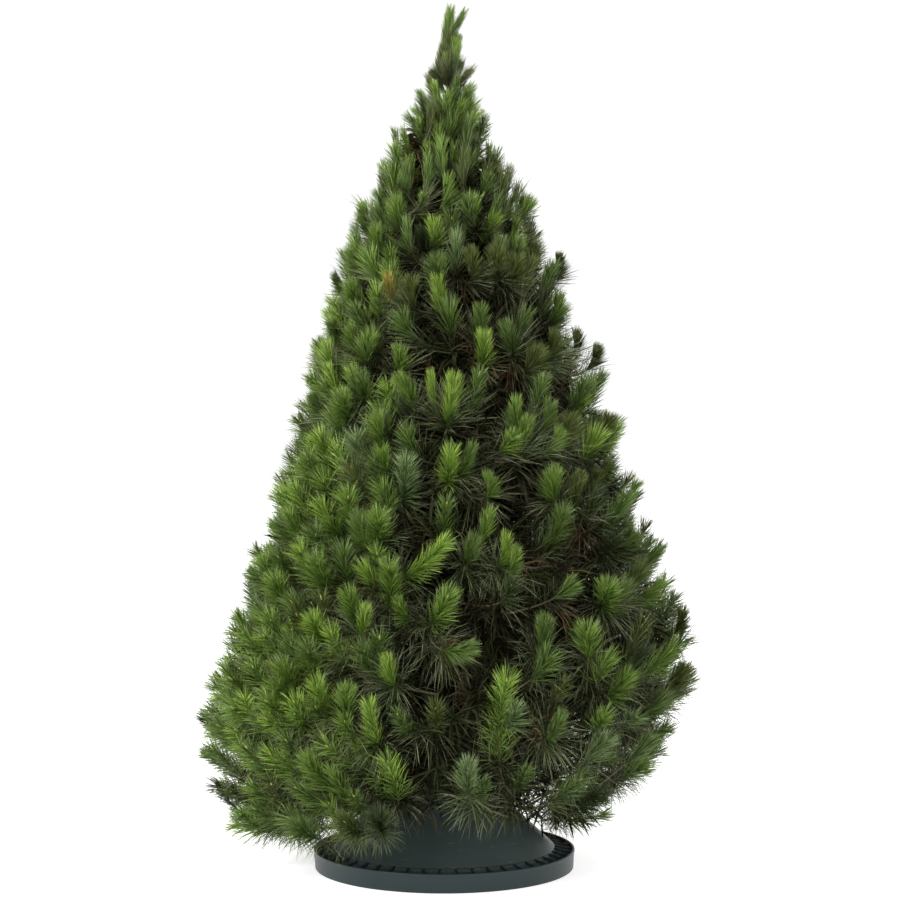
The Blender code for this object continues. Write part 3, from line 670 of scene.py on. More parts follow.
def grow_mass(mass, start, random):
    """One mass: its stem's points, its twigs, each a root, a base and the tip of the shoot, and
    the joints on them with their ways. Each twig adds joints of its own."""
    whorl, azimuth, _ = mass
    reach = crown_radius(WHORLS[whorl][2])
    end = reach - 0.9 * at_height(SPRAY_LENGTH, WHORLS[whorl][2])
    stem = along(whorl, start + (end - start) * np.arange(4) / 3, azimuth)
    axes = unit(np.diff(stem, axis=0))
    spots = [a + (b - a) * s for a, b in zip(stem, stem[1:]) for s in STEM_JOINTS]
    ways = [axis for axis in axes for _ in STEM_JOINTS]
    plans, twigs = [], []
    for tip in spray_tips(mass, random):
        around = math.atan2(tip[1], tip[0]) + random.uniform(-0.2, 0.2)
        run = at_height(SPRAY_LENGTH, tip[2]) * shoot_direction(tip[2], around)
        plans.append((tip - run, tip, random.uniform(0, math.tau)))
    plans.sort(key=lambda plan: np.linalg.norm(plan[0] - stem[0]))
    for whole_base, tip, turn in plans:
        for size, lift in SPRAY_TRIES:
            base = tip + size * (whole_base - tip) + (0, 0, lift)
            root = nearest_parent(base, np.array(spots), np.array(ways))
            tested = [root + (base - root) * s for s in TESTED_AT]
            tested += [*spray_ring(base, root, tip, turn), tip]
            if min(room(mass, point) for point in tested) > SPACE_MARGIN:
                spots += [root + (base - root) * share for share in TWIG_JOINTS]
                ways += [unit(base - root)] * 2
                twigs.append((root, base, tip))
                break
    return stem, twigs, spots, ways


# The leader: the length of its stem, how many sprays a tier has, the top of the tree, and how
# far out and how high each tier reaches
LEADER_STEM, LEADER_SIDES, TREE_TOP = 0.10, 4, 2.0
LEADER_TIERS = ((0.056, 0.054), (0.032, 0.100), (0.020, 0.142))
# Sprigs that close the foot of the leader: how many, the heights between which they end, and how
# far below its tip a sprig or a shoot of a tier leaves the trunk
TOP_SPRIGS, TOP_SPAN, TOP_RUN = 26, (1.74, 1.85), 0.130
GOLDEN = math.pi * (3 - math.sqrt(5))


def grow_leader():
    """The leader above the trunk's tip: an upright stem, and round it tiers of shoots that leave
    it steeply, with more of them at its foot."""
    foot = trunk_middle(TRUNK_TOP)
    axis = unit(foot - trunk_middle(TRUNK_TOP - 0.01))
    start = foot + GAP * axis
    shoots = [(-0.003, 0.002, TREE_TOP - foot[2] - 0.012)]
    for tier, (radius, height) in enumerate(LEADER_TIERS):
        for i in range(LEADER_SIDES):
            angle = math.tau * (i + 0.5 * tier + 0.2) / LEADER_SIDES
            lower = 0.030 * math.fmod(0.618 * (5 * tier + i), 1.0)
            shoots.append((radius * math.cos(angle), radius * math.sin(angle), height - lower))
            angle, out = angle + math.pi / LEADER_SIDES, 0.6 * radius
            shoots.append((out * math.cos(angle), out * math.sin(angle), height - 0.8 * lower))
    twigs = []
    for i in range(TOP_SPRIGS):
        z = TOP_SPAN[0] + (TOP_SPAN[1] - TOP_SPAN[0]) * (i + 0.5) / TOP_SPRIGS
        tip = crown_point(z, i * GOLDEN)
        root = trunk_middle(z - TOP_RUN)
        twigs.append((root, root + 0.3 * (tip - root) + (0.0, 0.0, 0.004), tip))
    for reach in shoots:
        tip = foot + reach
        root = start + max(0.0, reach[2] - TOP_RUN) * axis
        twigs.append((root, root + 0.4 * (tip - root), tip))
    stem = start + np.linspace(0, LEADER_STEM, 4)[:, None] * axis
    return stem, twigs


stems, stem_sizes, twigs, spots, ways, mass_names = [], [], [], [], [], []
for whorl, (count, _, comes_out, _, first) in enumerate(WHORLS):
    for index in range(count):
        mass = (whorl, math.radians(first) + math.tau * index / count, math.pi / count)
        start = BOUGH_SHARE * crown_radius(comes_out) if whorl < BOUGH_WHORLS else 0.004
        stem, grown, more_spots, more_ways = grow_mass(
            mass, start, Random(SEED * 1000 + whorl * 10 + index)
        )
        stems.append(stem)
        stem_sizes.append(STEM_RADIUS)
        twigs += grown
        spots += more_spots
        ways += more_ways
        mass_names.append(f"mass_{whorl + 1}_{index + 1}")
stem, grown = grow_leader()
stems.append(stem)
stem_sizes.append(TRUNK_TIP_RADIUS * 0.9)
twigs += grown
mass_names.append("mass_leader")

# The front's marked shoots, in millimetres: across and height of the tip, across and height of
# the foot, the width, and the letter of its tone
MARKED = (
    (18, 2006, 4, 1916, 32, "m"), (57, 1999, 23, 1939, 12, "m"), (11, 1958, -3, 1870, 25, "o"),
    (34, 1921, 16, 1837, 32, "s"), (-7, 1911, -10, 1828, 21, "o"),
    (-108, 1567, -103, 1455, 50, "m"), (-191, 1545, -174, 1473, 39, "m"),
    (-153, 1495, -146, 1400, 45, "m"), (-216, 1450, -188, 1372, 45, "m"),
    (-262, 1389, -231, 1337, 28, "f"), (-214, 1369, -198, 1298, 45, "m"),
    (-127, 1382, -112, 1312, 31, "y"), (-71, 1377, -76, 1296, 49, "o"),
    (-27, 1510, -18, 1440, 45, "s"), (-15, 1426, -9, 1347, 66, "f"), (-18, 1381, -2, 1269, 44, "s"),
    (-261, 1279, -235, 1227, 36, "f"), (-212, 1269, -198, 1211, 36, "m"),
    (-157, 1253, -171, 1204, 49, "m"), (-103, 1222, -99, 1169, 40, "m"),
    (-294, 1241, -265, 1154, 46, "m"), (-105, 1158, -79, 1110, 44, "m"),
    (-28, 1165, -26, 1121, 22, "s"), (-180, 1165, -177, 1105, 40, "f"),
    (-230, 1123, -214, 1035, 58, "m"), (-302, 1112, -279, 1066, 27, "f"),
    (20, 1139, 7, 1029, 39, "s"), (-144, 1076, -140, 1009, 39, "m"), (51, 1439, 72, 1343, 44, "o"),
    (113, 1445, 123, 1359, 58, "o"), (168, 1423, 144, 1335, 54, "o"),
    (265, 1436, 260, 1374, 28, "o"), (264, 1346, 252, 1264, 41, "m"), (82, 1313, 78, 1255, 44, "f"),
    (128, 1277, 142, 1238, 40, "f"), (88, 1257, 87, 1131, 48, "s"), (213, 1222, 179, 1119, 66, "o"),
    (246, 1256, 241, 1184, 36, "o"), (300, 1259, 302, 1200, 32, "o"),
    (357, 1223, 339, 1142, 37, "o"), (22, 1161, 16, 1066, 48, "s"), (159, 1111, 156, 1027, 39, "m"),
    (190, 1067, 167, 996, 44, "m"), (235, 1101, 227, 1052, 39, "f"), (282, 1070, 268, 994, 66, "o"),
    (376, 1069, 356, 1005, 41, "o"), (18, 1010, 2, 856, 56, "s"), (67, 1010, 35, 924, 32, "f"),
    (91, 946, 100, 887, 30, "m"), (244, 957, 233, 855, 52, "m"), (304, 942, 286, 881, 44, "o"),
    (269, 879, 220, 722, 69, "f"), (133, 820, 126, 706, 30, "s"), (158, 789, 144, 728, 30, "m"),
    (20, 815, -84, 683, 60, "s"), (69, 815, 48, 734, 43, "f"), (22, 710, -29, 588, 72, "m"),
    (359, 718, 349, 622, 74, "m"), (212, 646, 214, 557, 47, "f"), (303, 629, 315, 526, 77, "m"),
    (543, 629, 528, 528, 36, "o"), (549, 508, 496, 413, 54, "o"), (416, 520, 349, 420, 65, "m"),
    (78, 582, 9, 558, 50, "f"), (141, 544, 93, 303, 92, "s"), (256, 446, 238, 398, 38, "f"),
    (368, 383, 294, 296, 64, "p"), (53, 352, 49, 235, 63, "p"), (384, 225, 226, 165, 82, "d"),
    (-84, 991, -83, 843, 73, "p"), (-139, 869, -147, 774, 77, "m"), (-121, 770, -108, 614, 68, "m"),
    (-163, 669, -177, 595, 34, "s"), (-123, 567, -112, 499, 38, "s"),
    (-161, 481, -144, 337, 50, "s"), (-215, 917, -192, 760, 78, "m"),
    (-286, 775, -251, 630, 78, "m"), (-296, 643, -254, 552, 65, "s"),
    (-383, 722, -342, 595, 79, "m"), (-211, 704, -181, 574, 60, "m"),
    (-280, 516, -245, 377, 72, "s"), (-362, 544, -314, 418, 73, "m"),
    (-311, 351, -232, 236, 72, "m"), (-201, 503, -209, 448, 55, "m"),
    (-582, 366, -470, 245, 44, "d"), (-556, 216, -400, 130, 66, "d"),
    (-235, 215, -190, 165, 80, "o"), (-150, 235, -130, 175, 80, "d"),
    (-340, 190, -280, 130, 80, "f"),
)
# The dark hollows between them, and the gaps right through the foliage: across, height and
# radius in millimetres, on the plane y = 0 as the eye at the front sees it
HOLLOWS = (
    (-68, 1450, 51), (83, 1492, 51), (-33, 1249, 56), (164, 1290, 42), (122, 1098, 51),
    (-98, 890, 42), (-33, 815, 46), (48, 815, 51), (164, 820, 56), (315, 785, 65), (-130, 693, 39),
    (94, 646, 51), (222, 616, 56), (-75, 547, 58), (-207, 468, 46), (25, 345, 65), (25, 271, 56),
    (-79, 248, 60), (245, 415, 56), (199, 287, 51), (361, 623, 28), (-14, 1538, 23), (-56, 146, 56),
    (-14, 99, 46), (176, 132, 56), (250, 118, 56), (326, 109, 46),
)
SKY_GAPS = (
    (245, 192, 51), (305, 183, 56), (356, 155, 37), (391, 920, 25), (-520, 262, 42),
    (-545, 150, 34), (-485, 60, 60), (-470, 220, 24), (-422, 62, 56), (-340, 40, 60),
    (380, 100, 38), (452, 180, 48), (465, 211, 46), (440, 160, 44), (420, 60, 46),
)
FRONT_EYE = (0.0134, -5.7, 1.2)
# A marked shoot's least length; by height, how far in its foot lies, as a share of its length;
# how far inside the outline its tip lies; and how far the others keep from it below FREE_ABOVE
MARKED_LEAST, MARKED_DEEPER, MARKED_INSET = 0.115, ((1.6, 0.55), (1.9, 0.12)), 0.005
MARKED_APART, FREE_ABOVE = 0.050, 1.7


def thousandths(values):
    """Values that are given in whole thousandths."""
    return tuple(value / 1000 for value in values)


def front_point(across, height):
    """The point on the front of the outline that is seen at a place across and a height."""
    aside = across - np.interp(height, OUTLINE[:, 0], OUTLINE[:, 2])
    inside = crown_radius(height) - MARKED_INSET
    return np.array((across, -math.sqrt(max(0.0, inside**2 - aside**2)), height))


def in_open(point, hollows=HOLLOWS):
    """Whether a point lies in a gap, or at the front in a hollow, as seen from the front."""
    near = -FRONT_EYE[1] / (point[1] - FRONT_EYE[1])
    across = FRONT_EYE[0] + (point[0] - FRONT_EYE[0]) * near
    height = FRONT_EYE[2] + (point[2] - FRONT_EYE[2]) * near
    opens = SKY_GAPS + (hollows if point[1] < 0 else ())
    return any(math.hypot(across - x, height - z) < r for x, z, r in map(thousandths, opens))


marked, marked_wide, marked_tone = [], [], []
for *places, tone in MARKED:
    across, height, foot_across, foot_height, wide = thousandths(places)
    tip = front_point(across, height)
    run = np.array((foot_across - across, 0.0, foot_height - height))
    run[1] = np.interp(height, *np.array(MARKED_DEEPER).T) * np.linalg.norm(run)
    long = max(np.linalg.norm(run), MARKED_LEAST)
    marked.append((tip + long * unit(run), tip))
    marked_wide.append(wide)
    marked_tone.append(tone)
marked_tips = np.array([tip for _, tip in marked])
twigs = [
    twig for twig in twigs
    if twig[2][2] > FREE_ABOVE
    or (np.linalg.norm(marked_tips - twig[2], axis=1).min() > MARKED_APART and not in_open(twig[2]))
]
plain = len(twigs)

# The finer twigs: how many tips are tried, how far apart they must be low down and at the top,
# how much farther at the front right, where the foliage is open, and how much nearer at the
# left, where it is dense
FINER_TRIES, FINER_APART, FINER_OPEN, FINER_DENSE = 12000, (0.060, 0.043), 0.58, 0.12
OPEN_BELOW, OPEN_RIGHT_OF, DENSE_BEFORE, DENSE_LEFT_OF = 1.45, -0.10, 0.1, -0.12
# How far in from the outline they end at most and how far over the skirt, their length as a
# share of a spray's, the turn and the tilt of their shoots, and how much deeper than their foot
# they leave their parent, and how high over the stand
FINER_INSET, FINER_SKIRT, FINER_LENGTH = 0.055, (0.035, 0), (0.74, 1.24)
FINER_TURN, FINER_TILT, FINER_DEEPER, FINER_OVER = 0.42, (-12, 18), 0.05, 0.020

chance = np.random.default_rng(SEED)


def scattered(tries, over_skirt):
    """Points dealt by chance over the outline, fewer where it is narrower, each with its height
    and one more share drawn for it. They keep over the skirt by one margin, less a second one
    at the front, by the square of the sine."""
    for z, drawn, azimuth, share in chance.uniform(0, 1, (tries, 4)):
        z, azimuth = SKIRT_SIDE + z * (TRUNK_TOP - SKIRT_SIDE), azimuth * math.tau
        lower = over_skirt[1] * max(0.0, -math.sin(azimuth)) ** 2
        narrow = drawn * OUTLINE[:, 1].max() > crown_radius(z)
        if not narrow and z >= skirt(azimuth) + over_skirt[0] - lower:
            yield crown_point(z, azimuth), z, share


taken = [tip for _, _, tip in twigs] + [tip for _, tip in marked]
taken += [0.6 * tip + 0.4 * foot for foot, tip in marked]
plans = list(marked)
for tip, z, inset in scattered(FINER_TRIES, FINER_SKIRT):
    tip = tip + FINER_INSET * inset * unit(trunk_middle(tip[2]) - tip)
    is_open = tip[1] < 0 and z < OPEN_BELOW and tip[0] > OPEN_RIGHT_OF
    is_dense = tip[1] < DENSE_BEFORE and tip[0] < DENSE_LEFT_OF
    apart = at_height(FINER_APART, z) * (1 + FINER_OPEN * is_open - FINER_DENSE * is_dense)
    if np.linalg.norm(np.array(taken) - tip, axis=1).min() < apart or in_open(tip):
        continue
    taken.append(tip)
    around = math.atan2(tip[1], tip[0]) + chance.uniform(-FINER_TURN, FINER_TURN)
    way = shoot_direction(tip[2], around, chance.uniform(*FINER_TILT))
    plans.append((tip - chance.uniform(*FINER_LENGTH) * at_height(SPRAY_LENGTH, z) * way, tip))
out_from_trunk = [np.linalg.norm(base - trunk_middle(base[2])) for base, _ in plans]
order = sorted(range(len(plans)), key=out_from_trunk.__getitem__)
for base, tip in (plans[i] for i in order):
    base[2] = max(base[2], clear_height(base) + FINER_OVER)
    deeper = base + FINER_DEEPER * unit(trunk_middle(base[2]) - base)
    root = nearest_parent(deeper, np.array(spots), np.array(ways))
    spots += [root + (base - root) * share for share in TWIG_JOINTS]
    ways += [unit(base - root)] * 2
    twigs.append((root, base, tip))
is_marked = np.full(len(twigs), -1)
for place, i in enumerate(order):
    if i < len(marked):
        is_marked[plain + place] = i
roots, bases, tips = (np.array([twig[i] for twig in twigs]) for i in range(3))
joints, joint_ways = np.array(spots), np.array(ways)


# ---- Twigs
# The wood inside the masses: a stem on from each bough, and a twig to each shoot that leaves its
# parent outwards and turns up to the light. Rough tan wood with the scars of shed needles.

TWIG_RADIUS, TWIG_ROWS, TWIG_SIDES, STEM_ROWS, STEM_SIDES = 0.0026, 7, 4, 16, 8
# The needles' length by height, how much shorter they are on a broad shoot than on a slim one,
# and on a marked shoot their length as a fixed part and a share of its width
NEEDLE_LENGTH = (
    (0.0, 0.074), (0.9, 0.078), (1.4, 0.075), (1.75, 0.066), (1.9, 0.050), (2.0, 0.045),
)
BROAD_SHORTER, MARKED_LENGTH = 0.10, (0.052, 0.30)
# No needle is longer than this share of its shoot, and the wood ends this share of a needle
# before the shoot's tip
LONGEST, WOOD_SHORT = 0.60, 0.68


def curve(s, starts, bends, ends):
    """The quadratic curve of each twig: (1-s)^2 start + 2s(1-s) bend + s^2 end."""
    s = s[..., None]
    starts, bends, ends = starts[:, None], bends[:, None], ends[:, None]
    return (1 - s) ** 2 * starts + 2 * s * (1 - s) * bends + s**2 * ends


def curve_way(s, starts, bends, ends):
    """The direction of each twig's curve: from its slope, (1-s)(bend-start) + s(end-bend)."""
    s = s[..., None]
    bends_out, ends_out = (bends - starts)[:, None], (ends - bends)[:, None]
    return unit((1 - s) * bends_out + s * ends_out + 1e-9)


numbers = np.random.default_rng(SEED + 1)
count = len(tips)
# 0 at the left edge to 1 at the right: shoots on the left are broader, and are dealt brighter tones
#                                       as painted light from the left
rightness = np.clip(0.5 + tips[:, 0] / 0.8, 0, 1)
broad = np.clip(0.80 - 0.60 * rightness + numbers.normal(0, 0.22, count), 0, 1)
whole = np.linalg.norm(tips - bases, axis=1)
needle_length = np.interp(tips[:, 2], *np.array(NEEDLE_LENGTH).T)
needle_length = needle_length * numbers.uniform(0.76, 1.18, count)
needle_length = needle_length * (1 - BROAD_SHORTER * broad)
own_width = np.array(marked_wide)[is_marked]
own_length = MARKED_LENGTH[0] + MARKED_LENGTH[1] * own_width
needle_length = np.minimum(np.where(is_marked < 0, needle_length, own_length), LONGEST * whole)
ends = tips - (WOOD_SHORT * needle_length / whole)[:, None] * (tips - bases)
twig_length = np.linalg.norm(bases - roots, axis=1) + np.linalg.norm(ends - bases, axis=1)
fresh_from = 1 - 0.95 * np.linalg.norm(ends - bases, axis=1) / twig_length

s = np.broadcast_to(np.linspace(0, 1, TWIG_ROWS), (count, TWIG_ROWS))
twig_paths = curve(s, roots, bases, ends)
twig_radii = TWIG_RADIUS * np.clip(0.45 + twig_length[:, None] / 0.3, 0.7, 1.15) * (1 - 0.62 * s)
twig_wood = tubes(twig_paths, twig_radii, TWIG_SIDES)
stem_s = np.linspace(0, 3, STEM_ROWS)
stem_lines = np.array([
    np.stack([np.interp(stem_s, range(4), stem[:, k]) for k in range(3)], -1) for stem in stems
])
stem_radii = np.array(stem_sizes)[:, None] * (1 - 0.14 * stem_s)[None]
stem_wood = tubes(stem_lines, stem_radii * (1 + 0.10 * np.sin(stem_s * 17))[None], STEM_SIDES)
wood = joined(stem_wood, twig_wood)
scars = np.random.default_rng(5).uniform(0.2, 1.0, len(wood[0]))
twig_bark = bark_finish(
    "twig_bark", (0.024, 0.017, 0.010, 1), (0.120, 0.094, 0.048, 1), (0.10, 0.10, 0.045, 1), 420.0
)
add_piece("twigs", wood, twig_bark, mass_names, bark_growth(scars))


# ---- Buds
# A resting bud ends each young shoot: a slim pointed cone of yellow-green to tan scales.

BUD_LENGTH, BUD_RADIUS, BUD_SIDES = 0.013, 0.0023, 4

bud_line = np.array([(0.0, 0.75), (0.3, 1.0), (0.65, 0.75), (1.0, 0.08)])
bud_way = curve_way(np.ones((count, 1)), roots, bases, ends)
bud_run = BUD_LENGTH * numbers.uniform(0.7, 1.3, count)[:, None, None]
bud_paths = ends[:, None] + bud_way * bud_line[None, :, :1] * bud_run
bud_radii = np.repeat(BUD_RADIUS * bud_line[None, :, 1], count, 0)
bud_finish, tree, shader = new_finish("bud_scales", 0.55)
place = node(tree, "TexCoord", output="Object")
scales = node(tree, "TexVoronoi", place, Scale=620.0)
tints = node(tree, "TexNoise", place, Scale=30.0)
tone = mixed(tree, tints, (0.34, 0.40, 0.08, 1), (0.36, 0.25, 0.10, 1))
bump = node(tree, "Bump", Strength=0.6, Distance=0.0006, Height=scales)
feed(tree, shader, {"Base Color": tone, "Normal": bump})
buds = tubes(bud_paths, bud_radii, BUD_SIDES)
add_piece("buds", buds, bud_finish, mass_names, np.zeros((len(buds[0]), 3)))


# ---- Fresh needles
# This year's needles stand in a forward-leaning brush along each shoot, long, thin and a little
# curved in towards it. They go from deep green at the foot of a shoot, darker there as painted
# shade, to yellow-green at its tip, whose pale ends are partly painted highlight, and shoots
# differ, so each shoot is dealt one of seven tones at random, with the bright ones dealt more on
# the left and the dark ones more on the right as painted light from the left.

NEEDLE_WIDTH, FRESH_COUNT, MARKED_COUNT, FRESH_GLOSS = 0.0016, 155, 380, 0.30
FRESH_SPREAD_FOOT, FRESH_SPREAD_TIP = (24, 36), (22, 31)  # on a slim shoot and on a broad one
SPREAD_HEIGHT = ((0.9, 1.0), (1.3, 0.88), (1.6, 0.72), (1.9, 0.55))
BLUNT = 0.32  # how much shorter the needles at a shoot's end are
# How unlike each other needles are: in turn, in spread and in curl, and in sag and length
TURN_APART, SPREAD_APART, CURL_APART = 0.25, 0.26, 0.10
SAG_RANGE, LENGTH_RANGE = (0.6, 1.4), (0.8, 1.1)
MOST_TRIANGLES = 190_000  # in one piece


def needles(count, blunt, lines, span, spread, length, curl, droop, crowd, width):
    """Needles along twigs, given as the starts, bends and ends of their curves. A needle starts
    on the curve at a share of the span, one less the power crowd of the share left, so that they
    crowd to the end, and is turned by the golden angle from the last. It leaves at the spread
    angle from the twig, and three fifths on its way is mixed with the twig's (curl, which arches
    it outwards where it is negative) and with straight down (droop). Those at the end of the
    span are shorter by the share blunt. It is a ribbon of a quad and a triangle. Returns the
    shape and its growth: the share along the shoot, the share along the needle, and the needle's
    own number."""
    m = len(length)
    share = (np.arange(count)[None] + numbers.uniform(0, 1, (m, count))) / count
    share = 1 - (1 - share) ** crowd[:, None]
    s = span[0][:, None] + (span[1] - span[0])[:, None] * share
    start, way = curve(s, *lines), curve_way(s, *lines)
    across = unit(np.cross(way, (0.31, 0.17, 0.93)))
    up = np.cross(way, across)
    turn = np.arange(count)[None] * GOLDEN + numbers.uniform(0, 6.28, (m, 1))
    turn = (turn + numbers.normal(0, TURN_APART, (m, count)))[..., None]
    radial = np.cos(turn) * across + np.sin(turn) * up
    angle = spread[0][:, None] + (spread[1] - spread[0])[:, None] * share
    angle = angle * np.clip(1 + numbers.normal(0, SPREAD_APART, (m, count)), 0.1, 1.7)
    out = np.cos(angle)[..., None] * way + np.sin(angle)[..., None] * radial
    sag = droop[:, None, None] * numbers.uniform(*SAG_RANGE, (m, count, 1)) * (0.0, 0.0, -1.0)
    out = unit(out + 0.35 * sag)
    curl = curl[:, None, None] + numbers.normal(0, CURL_APART, (m, count, 1))
    on = unit((1 - curl) * out + curl * way + sag)
    long = length[:, None] * numbers.uniform(*LENGTH_RANGE, (m, count)) * (1 - blunt * share**2)
    half = start + 0.6 * long[..., None] * out
    tip = half + 0.4 * long[..., None] * on
    side = unit(np.cross(out, numbers.normal(0, 1, (m, count, 3)))) * 0.5 * width[:, None, None]
    points = np.stack([start - 0.7 * side, start + 0.7 * side, half + side, half - side, tip], 2)
    points = points.reshape(-1, 3)
    points[:, 2] = np.maximum(points[:, 2], stand_top(np.hypot(points[:, 0], points[:, 1])) - 0.004)
    first = (np.arange(m * count) * 5)[:, None]
    along_needle = np.broadcast_to([0.0, 0.0, 0.6, 0.6, 1.0], (m, count, 5))
    own = np.broadcast_to(numbers.uniform(0, 1, (m, count, 1)), (m, count, 5))
    growth = np.stack([np.broadcast_to(share[..., None], own.shape), along_needle, own], -1)
    return (points, [first + [0, 1, 2, 3], first + [3, 2, 4]]), growth.reshape(-1, 3)


def needle_tones():
    """The colours along a needle: from shade to green by the needle's own number, the place on
    the shoot, darker at its foot as painted shade, and a slow noise; then to the tip's colour,
    partly the needle's own paler end and partly painted highlight, with the square of the share
    along the needle, more so near the end of the shoot and on some needles than on others."""
    colours = {"Shade": "Color", "Green": "Color", "Tip": "Color", "Tip Share": "Float"}
    group, given, out = new_group("needle_tones", colours, {"Color": "Color"})
    on_shoot, on_needle, own = stored_growth(group)
    place = node(group, "TexCoord", output="Object")
    noise = node(group, "TexNoise", place, Scale=14.0, Detail=2.0)
    patchy = scaled(group, noise, 0.3, scaled(group, own, 1.9, -0.85))
    # Lighter towards the shoot's tip and darker at its foot: painted shade.
    lit = scaled(group, on_shoot, 0.62, patchy, clamp=True)
    body = mixed(group, lit, given["Shade"], given["Green"])
    # The pale tip colour: partly the needle's own paler end, partly painted highlight.
    tipped = scaled(group, scaled(group, on_needle, on_needle), given["Tip Share"])
    near_end = scaled(group, tipped, scaled(group, on_shoot, 0.3, 0.7))
    other = node(group, "Math", scaled(group, own, 5.3), operation="FRACT")
    amount = scaled(group, near_end, scaled(group, other, 1.3, 0.25), clamp=True)
    feed(group, out, {"Color": mixed(group, amount, body, given["Tip"])})
    return group


def needle_finish(name, shade, green, tip, tip_share, gloss):
    """One green, grey or brown of needles, from the tones that they all share."""
    finish, tree, shader = new_finish(name, 0.42, Specular_IOR_Level=gloss)
    shared = bpy.data.node_groups.get("needle_tones") or needle_tones()
    shade, green, tip = ((*thousandths(colour), 1) for colour in (shade, green, tip))
    shown = {"Shade": shade, "Green": green, "Tip": tip, "Tip_Share": tip_share}
    feed(tree, shader, {"Base Color": node(tree, "Group", node_tree=shared, **shown)})
    return finish


def dealt_tiers(shares):
    """For each shoot the number of its tone, dealt by chance from the tones' shares."""
    upto = np.cumsum(shares, axis=0)
    return (numbers.uniform(0, 1, upto.shape[1]) * upto[-1] > upto[:-1]).sum(0)


def add_needles(label, tones, gloss, chosen, count, blunt, *values):
    """The needles of one tone on the chosen shoots, in pieces of under 200,000 triangles. The
    values are what needles() takes for each shoot: arrays, or several arrays together."""
    tone = "needles_" + label.split("_", 1)[1]
    finish = bpy.data.materials.get(tone) or needle_finish(tone, *tones, gloss)
    chosen, limit = np.flatnonzero(chosen), MOST_TRIANGLES // (3 * count)
    for part in range(0, len(chosen), limit):
        some = chosen[part : part + limit]
        picked = [
            [each[some] for each in value] if isinstance(value, tuple) else value[some]
            for value in values
        ]
        shape, growth = needles(count, blunt, *picked)
        add_piece(f"{label}_{part // limit + 1}", shape, finish, mass_names, growth)


FRESH_GREENS = (
    # name, how likely on the left and on the right (brighter tones more so on the left, as painted
    # light from that side), the shade, green and tip colours in thousandths, and how much of the
    # tip's colour shows; the pale tip colours are partly painted highlight
    ("spring", 0.24, 0.08, (42, 86, 7), (148, 268, 21), (365, 480, 112), 0.75),
    ("meadow", 0.38, 0.24, (28, 62, 6), (100, 190, 15), (265, 355, 95), 0.75),
    ("forest", 0.26, 0.34, (18, 41, 5), (62, 118, 11), (190, 260, 82), 0.75),
    ("olive", 0.08, 0.26, (19, 30, 5), (61, 87, 10), (165, 200, 66), 0.75),
    ("pale", 0.02, 0.03, (22, 42, 9), (85, 145, 36), (270, 350, 160), 0.85),
    ("deep", 0.02, 0.06, (8, 16, 3), (28, 47, 10), (85, 110, 45), 0.7),
    ("yellow", 0.001, 0.001, (80, 80, 14), (280, 240, 40), (460, 370, 110), 0.75),
)
narrower = np.interp(tips[:, 2], *np.array(SPREAD_HEIGHT).T) * numbers.uniform(0.75, 1.25, count)
own_spread = np.arcsin(np.clip(0.50 * own_width / needle_length, 0.2, 0.80))
spread = tuple(
    np.where(is_marked < 0, np.radians(slim + (full - slim) * broad) * narrower, share * own_spread)
    for (slim, full), share in ((FRESH_SPREAD_FOOT, 1.05), (FRESH_SPREAD_TIP, 0.95))
)
# Tones are dealt by side: the bright ones more on the left and the dark ones more on the right, as
# painted light from the left.
dealt = dealt_tiers([left + (right - left) * rightness for _, left, right, *_ in FRESH_GREENS])
letters = "".join(name[0] for name, *_ in FRESH_GREENS)
own_tone = np.array([letters.index(tone) for tone in marked_tone])
dealt = np.where(is_marked < 0, dealt, own_tone[is_marked])
crowd = np.interp(tips[:, 2], (1.2, 1.6), (1.5, 1.05))
width = NEEDLE_WIDTH * np.interp(tips[:, 2], (1.4, 1.9), (1, 0.72))
width = width * np.where(is_marked < 0, 1, 0.82)
for tier, (label, _, _, *tones) in enumerate(FRESH_GREENS):
    for kind, chosen, needle_count in (
        ("fresh_", is_marked < 0, FRESH_COUNT), ("marked_", is_marked >= 0, MARKED_COUNT),
    ):
        add_needles(
            kind + label, tones, FRESH_GLOSS, (dealt == tier) & chosen, needle_count, BLUNT,
            (roots, bases, ends), (fresh_from, np.full(count, 0.995)), spread, needle_length,
            0.15 - 0.25 * broad, 0.02 + 0.06 * broad, crowd, width,
        )


# ---- Old needles
# Last year's needles stay on the wood behind the fresh shoots: longer, spread wide and hanging
# at their ends, dull green to grey, darker the further in they are as painted shade, and with pale
# ends that are partly painted highlight.

OLD_COUNT, OLD_LENGTH, OLD_SPAN, OLD_GLOSS, OLD_WIDTH = 62, 0.098, 0.19, 0.12, 0.78
OLD_TONES = (
    # name, how many of them, and colours as for the fresh greens; the pale tips are partly painted
    # highlight
    ("grey_green", 0.5, (8, 13, 2), (46, 68, 18), (340, 390, 220), 0.85),
    ("dull_olive", 0.5, (6, 8, 2), (32, 40, 12), (260, 270, 150), 0.85),
)

old_run = np.minimum(OLD_SPAN, 0.95 * twig_length * fresh_from)
old_from = np.maximum(0.02, fresh_from - old_run / twig_length)
low_down = np.clip(1 - tips[:, 2] / 1.6, 0.15, 1)
rise = np.interp(tips[:, 2], (0.9, 1.35, 1.65), (1.0, 0.45, 0.15))
wide = np.radians(numbers.uniform(55, 88, count)) * rise
lowest = np.interp(tips[:, 2], (0.15, 0.42), (0.3, 1.0))
old_length = OLD_LENGTH * numbers.uniform(0.8, 1.1, count) * (0.5 + 0.5 * lowest)
old_length = old_length * np.interp(tips[:, 2], (1.5, 1.9), (1, 0.6))
dealt = dealt_tiers([np.full(count, share) for _, share, *_ in OLD_TONES])
